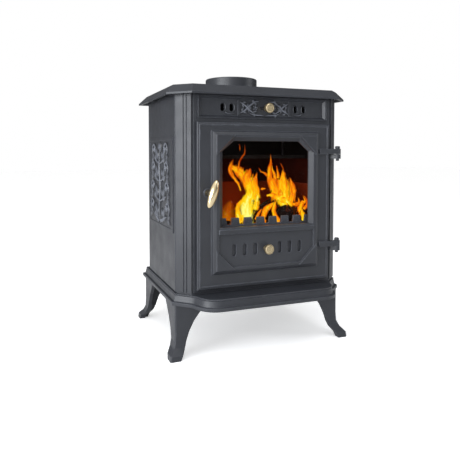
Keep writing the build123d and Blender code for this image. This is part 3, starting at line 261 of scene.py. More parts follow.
def stove_paint(name, colour, roughness, grain, edge_radius=EDGE_RADIUS, lined=False):
    """Satin paint over sand-cast iron, paler along its edges as wear and as a painted highlight;
    lined adds soot inside.
    """
    n = material_nodes(name)
    soft = n.soft_edges(edge_radius)
    tint = n.ramp(n.noise(9.0, 3.0), [(0.3, scaled(colour, 0.86)), (0.7, scaled(colour, 1.16))])
    patches = n.grey_ramp(n.noise(60.0), [(0.35, 0.3), (0.65, 1.0)])
    # Patchy edge mask that pales the edges, partly as wear and partly as a painted highlight.
    worn_and_highlit = n.maths("MULTIPLY", n.edge_mask(soft), patches)
    painted = n.mix(worn_and_highlit, tint, scaled(colour, EDGE_WEAR_AND_HIGHLIGHT))
    sheen = n.grey_ramp(n.noise(26.0, 5.0), [(0.3, roughness - 0.05), (0.7, roughness + 0.07)])
    if lined:
        sooted = n.within(*CHAMBER)
        painted = n.mix(sooted, painted, SOOT)
        sheen = n.maths("MAXIMUM", sheen, n.maths("MULTIPLY", sooted, SOOT_ROUGHNESS))
    n.feed(Base_Color=painted, Roughness=sheen,
           Normal=n.bump(n.noise(*SAND_GRAIN), grain, 0.5, soft))
    n.set(Specular_IOR_Level=PAINT_GLOSS)
    return n.owner


def relief_paint(name, finish, axis, root, height):
    """Stove paint on ornament, with painted shade in its hollows and a painted highlight on its
    crests.
    """
    n = material_nodes(name)
    colour = tuple(finish.paint)
    crest = root + CREST_SHARE * height
    level = n.maths("ABSOLUTE", n.axis(n.coordinates(), axis))
    share = n.maths("DIVIDE", n.maths("SUBTRACT", level, root), crest - root)
    uneven = n.maths("ADD", share, n.maths("MULTIPLY", n.noise(90.0), 0.3))
    # Painted shade low in the relief, plain paint halfway up and a painted highlight near its top.
    n.feed(Base_Color=n.ramp(uneven, [(0.2, scaled(colour, 0.35)), (0.65, colour),
                                      (1.0, scaled(colour, 4.2))]),
           Normal=n.bump(n.noise(*SAND_GRAIN), 0.0003, 0.5))
    n.set(Roughness=finish.paint_roughness)
    return n.owner


def sooted_iron():
    """Bare iron inside the fire chamber, blackened and scaled."""
    n = material_nodes("sooted_iron")
    cloud = n.noise(30.0, 6.0, 0.7)
    n.feed(Base_Color=n.ramp(cloud, [(0.3, (0.003, 0.0026, 0.0024)), (0.55, (0.009, 0.008, 0.008)),
                                     (0.8, (0.02, 0.015, 0.012))]),
           Roughness=n.grey_ramp(cloud, [(0.3, 0.8), (0.7, 0.55)]),
           Normal=n.bump(n.noise(260.0, 5.0), 0.0004, 0.6))
    n.set(Specular_IOR_Level=0.15)
    return n.owner


def polished_brass(colour, roughness):
    """Polished brass with cloudy handling marks."""
    n = material_nodes("polished_brass")
    marks = n.noise(240.0, 4.0)
    n.feed(Base_Color=n.ramp(n.noise(70.0, 5.0), [(0.3, scaled(colour, 0.8)), (0.7, colour)]),
           Roughness=n.grey_ramp(marks, [(0.3, roughness), (0.75, roughness + 0.12)]),
           Normal=n.bump(n.noise(500.0, 3.0), 0.00006, 0.4))
    n.set(Metallic=1.0)
    return n.owner


def ringed_brass(name, colour, roughness, centre):
    """Knob brass with turned rings round its middle, dulled in the grooves."""
    n = material_nodes(name)
    off = n.vector_maths("SUBTRACT", n.coordinates(), (centre.x, 0.0, centre.z))
    radius = n.vector_maths("LENGTH", n.vector_maths("MULTIPLY", off, (1.0, 0.0, 1.0)))
    wave = n.maths("SINE", n.maths("MULTIPLY", radius, 2 * math.pi / KNOB_RING_PITCH))
    ring = n.maths("ADD", n.maths("MULTIPLY", wave, 0.5), 0.5)
    n.feed(Base_Color=n.ramp(ring, [(0.1, scaled(colour, 0.45)), (0.7, colour)]),
           Roughness=n.grey_ramp(n.noise(180.0), [(0.3, roughness), (0.7, roughness + 0.12)]),
           Normal=n.bump(ring, 0.0005, 0.7))
    n.set(Metallic=1.0)
    return n.owner


def dull_steel():
    """Drawn or pressed steel with a brushed, slightly heat-darkened skin."""
    n = material_nodes("dull_steel")
    brushed = n.noise(40.0, 4.0, 0.6, stretch=(1.0, 1.0, 30.0))
    n.feed(Base_Color=n.ramp(n.noise(18.0, 5.0), [(0.3, STEEL_DARK), (0.7, STEEL_LIGHT)]),
           Roughness=n.grey_ramp(brushed, [(0.3, 0.38), (0.7, 0.6)]),
           Normal=n.bump(brushed, 0.0001, 0.3))
    n.set(Metallic=0.9)
    return n.owner


def fire_brick(name, dark, clay, pale, soot_share):
    """Fire clay slab, rough, cracked and sooted in clouds."""
    n = material_nodes(name)
    colour = n.ramp(n.noise(16.0, 6.0, 0.65), [(0.25, dark), (0.5, clay), (0.8, pale)])
    soot = n.grey_ramp(n.noise(8.0, 5.0, 0.7), [(0.42, 0.0), (0.62, soot_share)])
    n.feed(Base_Color=n.mix(soot, colour, BRICK_SOOT),
           Normal=n.bump(n.noise(150.0, 8.0, 0.7), 0.0012, 0.7))
    n.set(Roughness=0.95, Specular_IOR_Level=0.0)
    return n.owner


def woven_rope():
    """Braided glass fibre rope, grey-black with a diagonal plait."""
    n = material_nodes("woven_rope")
    braid = n.texture("ShaderNodeTexWave", bands_direction="DIAGONAL", Scale=140.0,
                      Distortion=2.0).outputs["Fac"]
    n.feed(Base_Color=n.ramp(braid, [(0.2, (0.03, 0.03, 0.03)), (0.8, (0.16, 0.155, 0.15))]),
           Normal=n.bump(braid, 0.0006, 0.8))
    n.set(Roughness=0.95)
    return n.owner


def ceramic_glass():
    """Nearly clear glass with a faint warm tint and a trace of soot."""
    n = material_nodes("ceramic_glass")
    haze = n.noise(14.0, 4.0)
    n.feed(Base_Color=n.ramp(haze, [(0.3, (0.008, 0.004, 0.003)), (0.8, (0.02, 0.012, 0.008))]),
           Alpha=n.grey_ramp(haze, [(0.35, 0.025), (0.8, 0.06)]))
    n.set(Roughness=0.04, Specular_IOR_Level=0.3)
    return n.owner


def charred_wood(glow):
    """Burnt log: black checked char with a little heat in its cracks."""
    n = material_nodes("charred_wood")
    cells = n.texture("ShaderNodeTexVoronoi", feature="DISTANCE_TO_EDGE", Scale=90.0)
    crack = cells.outputs["Distance"]
    hot = n.maths("MULTIPLY", n.grey_ramp(crack, [(0.0, 1.0), (0.05, 0.0)]),
                  n.grey_ramp(n.noise(26.0, 4.0), [(0.56, 0.0), (0.7, 1.0)]))
    n.feed(Base_Color=n.ramp(crack, [(0.02, (0.008, 0.002, 0.001)), (0.2, (0.006, 0.005, 0.005)),
                                     (0.6, (0.014, 0.012, 0.011))]),
           Emission_Color=n.mix(hot, (0.0, 0.0, 0.0), (0.8, 0.1, 0.004)),
           Normal=n.bump(crack, 0.003, 0.8))
    n.set(Roughness=0.9, Specular_IOR_Level=0.15, Emission_Strength=glow)
    return n.owner


def live_embers(glow):
    """Ember bed: ash-grey crusts over orange heat."""
    n = material_nodes("live_embers")
    lump = n.noise(70.0, 6.0, 0.7)
    heat = n.noise(95.0, 5.0, 0.75)
    n.feed(Base_Color=n.ramp(lump, [(0.35, (0.02, 0.015, 0.012)), (0.7, (0.16, 0.13, 0.11))]),
           Emission_Color=n.ramp(heat, [(0.4, (0.0, 0.0, 0.0)), (0.52, (0.75, 0.06, 0.0)),
                                        (0.68, (1.0, 0.42, 0.03))]),
           Normal=n.bump(lump, 0.004, 0.8))
    n.set(Roughness=0.95, Emission_Strength=glow)
    return n.owner


def flame_light(name, strength, torn_share, crisp):
    """White-yellow heart, orange body and red torn edges that fade from the crisp part out.

    The layer "flame" runs across and along a tongue, and "heat" holds its warmth in x.
    """
    n = material_nodes(name)
    heat = n.axis(n.layer("heat"), "X")
    off = n.maths("SUBTRACT", n.axis(n.layer("flame"), "X"), 0.5)
    across = n.maths("MULTIPLY", n.maths("ABSOLUTE", off), 2.0)
    swirl = n.noise(48.0, 5.0, 0.62, 0.9, stretch=(1.9, 1.9, 0.8))
    streak = n.maths("SUBTRACT", swirl, 0.5)
    warmth = n.maths("ADD", n.maths("ADD", heat, n.maths("MULTIPLY", streak, 1.25)),
                     n.maths("MULTIPLY", n.maths("POWER", across, 2.0), -0.34))
    colour = n.ramp(warmth, [(0.0, (0.30, 0.018, 0.0)), (0.22, (0.68, 0.10, 0.001)),
                             (0.45, (0.93, 0.24, 0.003)), (0.62, (1.0, 0.44, 0.003)),
                             (0.84, (1.0, 0.70, 0.01)), (1.0, (1.0, 0.97, 0.22))])
    reach = n.maths("ADD", across, n.maths("MULTIPLY", streak, torn_share))
    body = n.grey_ramp(reach, [(crisp, 1.0), (0.95, 0.0)])
    thin = n.grey_ramp(heat, [(0.05, 0.35), (0.45, 1.0)])
    ends = n.grey_ramp(n.axis(n.layer("flame"), "Y"),
                       [(0.0, 0.0), (0.05, 1.0), (0.86, 1.0), (1.0, 0.0)])
    n.feed(Emission_Color=colour,
           Alpha=n.maths("MULTIPLY", n.maths("MULTIPLY", body, thin), ends))
    n.set(Base_Color=(0.0, 0.0, 0.0, 1.0), Roughness=1.0, Specular_IOR_Level=0.0,
          Emission_Strength=strength)
    return n.owner


def paint_nodes(names, material):
    """Gives CAD nodes a material."""
    for name in names:
        mesh = NODES[name].data
        mesh.materials.clear()
        mesh.materials.append(material)


# Meshes

def circle(sides):
    """Cosine and sine of evenly spaced turns."""
    turns = [2 * math.pi * step / sides for step in range(sides)]
    return [(math.cos(turn), math.sin(turn)) for turn in turns]


def curve_points(points, steps):
    """Points along a smooth curve through the given ones."""
    found = []
    for index in range(len(points) - 1):
        p0 = Vector(points[max(index - 1, 0)])
        p1 = Vector(points[index])
        p2 = Vector(points[index + 1])
        p3 = Vector(points[min(index + 2, len(points) - 1)])
        for step in range(steps):
            t = step / steps
            found.append(0.5 * ((2 * p1) + (p2 - p0) * t + (2 * p0 - 5 * p1 + 4 * p2 - p3) * t * t
                                + (3 * p1 - p0 - 3 * p2 + p3) * t ** 3))
    found.append(Vector(points[-1]))
    return found


def side_of(line, index):
    """Unit vector in the line's plane, square to its course at a point."""
    ahead = line[min(index + 1, len(line) - 1)] - line[max(index - 1, 0)]
    return Vector((-ahead.y, ahead.x)).normalized()


class Shape:
    """Gathers vertices and faces of several forms into one mesh."""

    def __init__(self):
        self.vertices = []
        self.faces = []

    def rows(self, rings, closed=False, capped=False):
        """Skins a list of point rows; closed joins each row's ends, capped fills both mouths."""
        count = len(rings[0])
        start = len(self.vertices)
        self.vertices += [point for ring in rings for point in ring]
        end = len(self.vertices)
        last = count if closed else count - 1
        for row in range(start, end - count, count):
            for column in range(last):
                a = row + column
                b = row + (column + 1) % count
                self.faces.append((a, b, b + count, a + count))
        if capped:
            self.faces.append(tuple(reversed(range(start, start + count))))
            self.faces.append(tuple(range(end - count, end)))


class Relief(Shape):
    """Ornament on a flat face: an origin, two directions and an outward normal, in metres."""

    def __init__(self, origin, across, up, outward):
        super().__init__()
        self.origin = Vector(origin)
        self.across = Vector(across)
        self.up = Vector(up)
        self.outward = Vector(outward)

    def at(self, a, b, height):
        """A place on the face, sunk a little so that the ornament's edges lie inside it."""
        return self.origin + self.across * a + self.up * b + self.outward * (height - SINK)

    def line(self, points, width, height, steps=6):
        """A rounded strip along a curve, thinner toward its ends."""
        sides, end_share = 6, 0.35
        line = curve_points(points, steps)
        rings = []
        for index, place in enumerate(line):
            side = side_of(line, index)
            share = index / (len(line) - 1)
            size = end_share + (1 - end_share) * math.sin(math.pi * share) ** 0.5
            ring = []
            for step in range(sides + 1):
                turn = math.pi * step / sides
                a, b = place + side * math.cos(turn) * width * size / 2
                ring.append(self.at(a, b, math.sin(turn) * height * size))
            rings.append(ring)
        self.rows(rings)

    def leaf(self, a, b, turn, length, width, height):
        """A pointed leaf with a bent, lobed outline and a sunk vein."""
        rows, half_columns = 8, 3
        rings = []
        direction = Vector((math.cos(turn), math.sin(turn)))
        side = Vector((-direction.y, direction.x))
        for row in range(rows + 1):
            share = row / rows
            half = width / 2 * math.sin(math.pi * share ** 0.8) ** 0.8 if 0 < share < 1 else 0.0001
            bend = 0.10 * length * math.sin(math.pi * share)
            lobe = 1.0 + 0.10 * math.sin(share * 18.0)
            ring = []
            for column in range(-half_columns, half_columns + 1):
                off = column / half_columns
                middle = Vector((a, b)) + direction * length * share
                place = middle + side * (off * half * lobe + bend)
                crown = (1 - off * off) * height * (0.35 + 0.65 * math.sin(math.pi * share))
                vein = 0.3 * height if column == 0 else 0.0
                ring.append(self.at(place.x, place.y, crown - vein))
            rings.append(ring)
        self.rows(rings)

    def dome(self, a, b, radius, height):
        """A low round boss."""
        rows = 4
        rings = []
        for row in range(rows + 1):
            lift = math.pi / 2 * row / rows
            reach = max(radius * math.cos(lift), POLE)
            rings.append([self.at(a + reach * cos, b + reach * sin, height * math.sin(lift))
                          for cos, sin in circle(12)])
        self.rows(rings, closed=True)


def add_object(name, data):
    """A new object in the scene."""
    thing = bpy.data.objects.new(name, data)
    bpy.context.scene.collection.objects.link(thing)
    return thing


def add_lamp(name, kind, place, colour, energy):
    """A new light in the scene."""
    data = bpy.data.lights.new(name, kind)
    data.color = colour
    data.energy = energy
    lamp = add_object(name, data)
    lamp.location = place
    return lamp


def make_piece(name, shape, material, body, stands_for=()):
    """A smooth mesh object in the shared frame that rides on a body."""
    mesh = bpy.data.meshes.new(name)
    mesh.from_pydata([tuple(v) for v in shape.vertices], [], shape.faces)
    mesh.validate()
    mesh.materials.append(material)
    mesh.polygons.foreach_set("use_smooth", [True] * len(mesh.polygons))
    piece = add_object(name, mesh)
    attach(piece, body)
    if stands_for:
        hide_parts(*stands_for)
    return piece


def spiral(a, b, radius, start, turns, hand):
    """Plan points of a scroll that winds inward to (a, b)."""
    count, closing = 14, 0.82
    points = []
    for step in range(count):
        share = step / (count - 1)
        turn = start + hand * turns * 2 * math.pi * share
        reach = radius * (1 - closing * share)
        points.append((a + reach * math.cos(turn), b + reach * math.sin(turn)))
    return points


# Settings that a user would change

class StoveFinish(bpy.types.PropertyGroup):
    """Colours and sheen of the castings and fittings."""

    paint: bpy.props.FloatVectorProperty(
        name="Stove paint", description="Colour of the painted castings",
        default=(0.0235, 0.0252, 0.0302), size=3, min=0, max=1, subtype="COLOR")
    paint_roughness: bpy.props.FloatProperty(
        name="Paint roughness", description="How matt the stove paint is",
        default=0.4, min=0.2, max=1, subtype="FACTOR")
    casting_grain: bpy.props.FloatProperty(
        name="Casting grain", description="Depth of the sand-cast grain under the paint",
        default=0.00035, min=0, max=0.002, subtype="DISTANCE", unit="LENGTH")
    brass: bpy.props.FloatVectorProperty(
        name="Brass", description="Colour of the handle and the knobs",
        default=(0.74, 0.60, 0.37), size=3, min=0, max=1, subtype="COLOR")
    brass_roughness: bpy.props.FloatProperty(
        name="Brass roughness", description="Polish of the brass, low is brighter",
        default=0.14, min=0.05, max=1, subtype="FACTOR")


class StoveRelief(bpy.types.PropertyGroup):
    """Sizes of the cast ornament."""

    leaf_length: bpy.props.FloatProperty(
        name="Leaf length", description="Length of a leaf on the side panels",
        default=0.040, min=0.01, max=0.05, subtype="DISTANCE", unit="LENGTH")
    relief_height: bpy.props.FloatProperty(
        name="Relief height", description="How far the side panels' foliage stands up",
        default=0.0046, min=0.001, max=0.006, subtype="DISTANCE", unit="LENGTH")
    frieze_height: bpy.props.FloatProperty(
        name="Frieze relief", description="How far the frieze's sprays stand up",
        default=0.0046, min=0.001, max=0.006, subtype="DISTANCE", unit="LENGTH")


class StoveFire(bpy.types.PropertyGroup):
    """Size and brightness of the fire."""

    brightness: bpy.props.FloatProperty(
        name="Flame brightness", description="Light that the flames give off",
        default=1.12, min=0, max=10)
    ember_glow: bpy.props.FloatProperty(
        name="Ember glow", description="Light from the embers and the logs' cracks",
        default=1.0, min=0, max=20)
    flame_scale: bpy.props.FloatProperty(
        name="Flame height", description="Height of the flames against the pictured ones",
        default=1.0, min=0.3, max=1.1, subtype="FACTOR")
    firelight: bpy.props.FloatProperty(
        name="Firelight", description="Warm light that the fire throws on the bricks",
        default=0.34, min=0, max=20, unit="POWER")


class StoveStage(bpy.types.PropertyGroup):
    """Studio around the stove."""

    floor: bpy.props.FloatVectorProperty(
        name="Floor", description="Colour of the studio floor",
        default=(0.94, 0.94, 0.94), size=3, min=0, max=1, subtype="COLOR")
    softbox: bpy.props.FloatProperty(
        name="Softbox", description="Power that each softbox takes its share of",
        default=34.0, min=0, max=500, unit="POWER")
    sky: bpy.props.FloatProperty(
        name="Surrounding light", description="Strength of the white surroundings",
        default=1.0, min=0, max=5)
    lens: bpy.props.FloatProperty(
        name="Lens", description="Focal length of the camera",
        default=39.547, min=10, max=200, subtype="DISTANCE_CAMERA", unit="CAMERA")


# Operators

class STOVE_OT_castings(bpy.types.Operator):
    """Paint the outer castings and blacken the iron inside"""

    bl_idname = "stove.castings"
    bl_label = "Castings"

    def execute(self, context):
        finish = context.scene.stove_finish
        colour = tuple(finish.paint)
        satin = (finish.paint_roughness, finish.casting_grain)
        paint_nodes(PAINTED, stove_paint("stove_paint", colour, *satin))
        paint_nodes(SOOT_LINED, stove_paint("lined_paint", colour, *satin, lined=True))
        paint_nodes(("door_frame",), stove_paint("door_paint", colour, *satin, DOOR_EDGE_RADIUS))
        paint_nodes(SOOTED, sooted_iron())
        # A paler copy of the stove paint on the log guard, as painted light.
        guard_paint = stove_paint("guard_paint", scaled(colour, GUARD_PAINTED_LIGHT), GUARD_ROUGHNESS,
                                  finish.casting_grain)
        paint_nodes(("log_guard",), guard_paint)
        return {"FINISHED"}


class STOVE_OT_fittings(bpy.types.Operator):
    """Give the steel, brass, brick, rope and glass their finishes"""

    bl_idname = "stove.fittings"
    bl_label = "Fittings and linings"

    def execute(self, context):
        finish = context.scene.stove_finish
        paint_nodes(FITTINGS, dull_steel())
        for name, bricks, dark, clay, pale, soot_share in BRICK_COURSES:
            paint_nodes(bricks, fire_brick(name, dark, clay, pale, soot_share))
        paint_nodes(ROPES, woven_rope())
        paint_nodes(("door_glass",), ceramic_glass())
        brass = tuple(finish.brass)
        paint_nodes(("door_handle",), polished_brass(brass, finish.brass_roughness))
        for name in KNOBS:
            low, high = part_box(name)
            knob_brass = ringed_brass(name + "_brass", scaled(brass, KNOB_SHADE),
                                      2 * finish.brass_roughness, (low + high) / 2)
            paint_nodes((name,), knob_brass)
        return {"FINISHED"}


class STOVE_OT_handle(bpy.types.Operator):
    """Turn a smooth oval grip on its neck in place of the faceted one"""

    bl_idname = "stove.handle"
    bl_label = "Door handle"
    HALF_LENGTH = 30.5 * MM
    HALF_WIDTH = 9.3 * MM
    LEAN = math.radians(17.0)

    def execute(self, context):
        low, high = HANDLE_BOX
        middle = ((low.x + high.x) / 2, low.y + self.HALF_WIDTH, (low.z + high.z) / 2)
        shape = Shape()
        shape.rows(self.grip(Vector(middle)), closed=True)
        shape.rows(self.neck(*middle, high.y), closed=True, capped=True)
        make_piece("handle_grip", shape, bpy.data.materials["polished_brass"], "handle",
                   stands_for=("door_handle",))
        return {"FINISHED"}

    def grip(self, middle):
        """Rings of a leaning oval from its lower to its upper end."""
        rows = 32
        tilt = Matrix.Rotation(self.LEAN, 4, "Y")
        rings = []
        for row in range(rows + 1):
            lift = -math.pi / 2 + math.pi * row / rows
            swell = max(self.HALF_WIDTH * math.cos(lift), POLE)
            rings.append([middle + tilt @ Vector((swell * cos, swell * sin,
                                                  self.HALF_LENGTH * math.sin(lift)))
                          for cos, sin in circle(40)])
        return rings

    def neck(self, x, y, z, rear):
        """Rings of a flared neck with a bead, from the grip back to the door."""
        rows = 14
        rings = []
        for row in range(rows + 1):
            share = row / rows
            bead = 0.8 * math.exp(-((share - 0.45) / 0.09) ** 2)
            radius = (4.6 + 2.6 * share ** 3 + bead) * MM
            depth = y + (rear - y) * share
            rings.append([Vector((x + radius * cos, depth, z + radius * sin))
                          for cos, sin in reversed(circle(32))])
        return rings


class STOVE_OT_side_relief(bpy.types.Operator):
    """Model foliage in low relief on both side panels"""

    bl_idname = "stove.side_relief"
    bl_label = "Side panel foliage"
    # Heights of the pairs of branches, then leaves as angles on the right half and scales.
    TIERS = (-0.070, -0.024, 0.022, 0.064)
    INNER_LEAVES = ((0.95, 1.0), (0.25, 0.85), (1.75, 0.62))
    OUTER_LEAVES = ((-0.55, 0.8), (0.1, 0.6))
    CROWN_ANGLES = (0.55, 1.2, math.pi / 2, math.pi - 1.2, math.pi - 0.55)

    def execute(self, context):
        relief = context.scene.stove_relief
        paint = relief_paint("relief_paint", context.scene.stove_finish, "X", RELIEF_FACE,
                             relief.relief_height)
        for side, name in ((-1, "relief_left"), (1, "relief_right")):
            shape = Relief((side * RELIEF_FACE, *FIELD_MIDDLE), (0, 1, 0), (0, 0, 1), (side, 0, 0))
            self.foliage(shape, relief.leaf_length, relief.relief_height)
            make_piece(name, shape, paint, "stove")
        return {"FINISHED"}

    def foliage(self, shape, length, height):
        """A rising stem with paired branches and a crown of leaves, over leaves and berries."""
        stem = [(0.005 * math.sin(step * 1.1), -0.094 + 0.0188 * step) for step in range(11)]
        shape.line(stem, 0.0075, height)
        for hand in (-1, 1):
            for tier, level in enumerate(self.TIERS):
                self.branch(shape, hand, level, 0.066 - 0.005 * tier, length, height)
        for turn in self.CROWN_ANGLES:
            shape.leaf(0.0, 0.074, turn, 0.56 * length, 0.26 * length, height)
        for hand in (-1, 1):
            for spot in range(3):
                shape.dome(hand * (0.012 + 0.010 * spot), -0.090 + 0.003 * spot, 0.0052, height)
            shape.leaf(hand * 0.004, -0.088, math.pi / 2 - hand * 1.3, length, 0.34 * length, height)

    def branch(self, shape, hand, level, reach, length, height):
        """A hooked branch that ends in a scroll round a berry, with leaves at both ends."""
        hook = [(0.0, level - 0.020), (hand * 0.026, level - 0.014), (hand * reach, level - 0.004)]
        shape.line(hook, 0.0058, height)
        berry = (hand * (reach + 0.002), level + 0.014)
        shape.line(spiral(*berry, 0.019, -math.pi / 2, 1.15, hand), 0.0056, height, steps=3)
        shape.dome(*berry, 0.0058, height * 1.1)
        for turn, scale in self.INNER_LEAVES:
            angle = turn if hand > 0 else math.pi - turn
            shape.leaf(hand * 0.022, level - 0.012, angle, length * scale, 0.46 * length * scale,
                       height)
        for turn, scale in self.OUTER_LEAVES:
            angle = turn if hand > 0 else math.pi - turn
            shape.leaf(hand * reach, level - 0.004, angle, scale * length, 0.38 * length,
                       height * 0.9)


class STOVE_OT_frieze(bpy.types.Operator):
    """Model crossed sprays and rims of the air holes on the frieze"""

    bl_idname = "stove.frieze"
    bl_label = "Frieze ornament"
    # Curves as places from the frieze's middle: outward, then up.
    SWIRL = ((0.070, -0.0105), (0.077, -0.0138), (0.087, -0.0135), (0.0925, -0.0105),
             (0.0895, -0.0085))
    GARLAND = ((0.038, -0.010), (0.026, -0.0148), (0.012, -0.0155), (0.0, -0.0165))
    CREST = ((0.034, 0.008), (0.023, 0.0140), (0.012, 0.0145))
    ROSETTE = (0.0225, 0.001)
    AIR_HOLES = (0.078, 0.099)

    def execute(self, context):
        height = context.scene.stove_relief.frieze_height
        low, high = FRIEZE_BOX
        shape = Relief((0, low.y + FRIEZE_RECESS, (low.z + high.z) / 2), (1, 0, 0), (0, 0, 1),
                       (0, -1, 0))
        for hand in (-1, 1):
            self.sprays(shape, hand, height)
            for distance in self.AIR_HOLES:
                self.rim(shape, hand, distance, height)
            shape.line(self.mirrored(self.SWIRL, hand), 0.0032, height * 0.7)
        paint = relief_paint("frieze_paint", context.scene.stove_finish, "Y", -shape.origin.y,
                             height)
        make_piece("frieze_sprays", shape, paint, "stove")
        return {"FINISHED"}

    def mirrored(self, points, hand):
        return [(hand * a, b) for a, b in points]

    def sprays(self, shape, hand, height):
        """Two leafy branches that cross between the block and the knob, with a rosette."""
        for lean in (-1, 1):
            branch = [(hand * 0.060, lean * 0.0125), (hand * 0.047, lean * 0.005),
                      (hand * 0.036, -lean * 0.005), (hand * 0.022, -lean * 0.0135)]
            shape.line(branch, 0.0050, height)
            course = curve_points(branch, 8)
            for step in (4, 12, 20):
                place = course[step]
                for turn in (0.75, -0.75):
                    angle = (math.pi if hand > 0 else 0.0) + turn + 0.5 * lean * hand
                    shape.leaf(place.x, place.y, angle, 0.0125, 0.0062, height * 0.9)
        for curve in (self.GARLAND, self.CREST):
            shape.line(self.mirrored(curve, hand), 0.0042, height * 0.9)
        a, b = self.ROSETTE
        for petal in range(5):
            shape.leaf(hand * a, b, petal * 2 * math.pi / 5, 0.0074, 0.0046, height * 0.9)
        shape.dome(hand * a, b, 0.0022, height)

    def rim(self, shape, hand, distance, height):
        """A crescent along one side of an air hole."""
        steps = 8
        arc = []
        for step in range(steps + 1):
            turn = -1.35 + 2.7 * step / steps
            arc.append((hand * distance - 0.0062 * math.cos(turn) * hand, 0.0097 * math.sin(turn)))
        shape.line(arc, 0.0028, height * 0.6, steps=3)


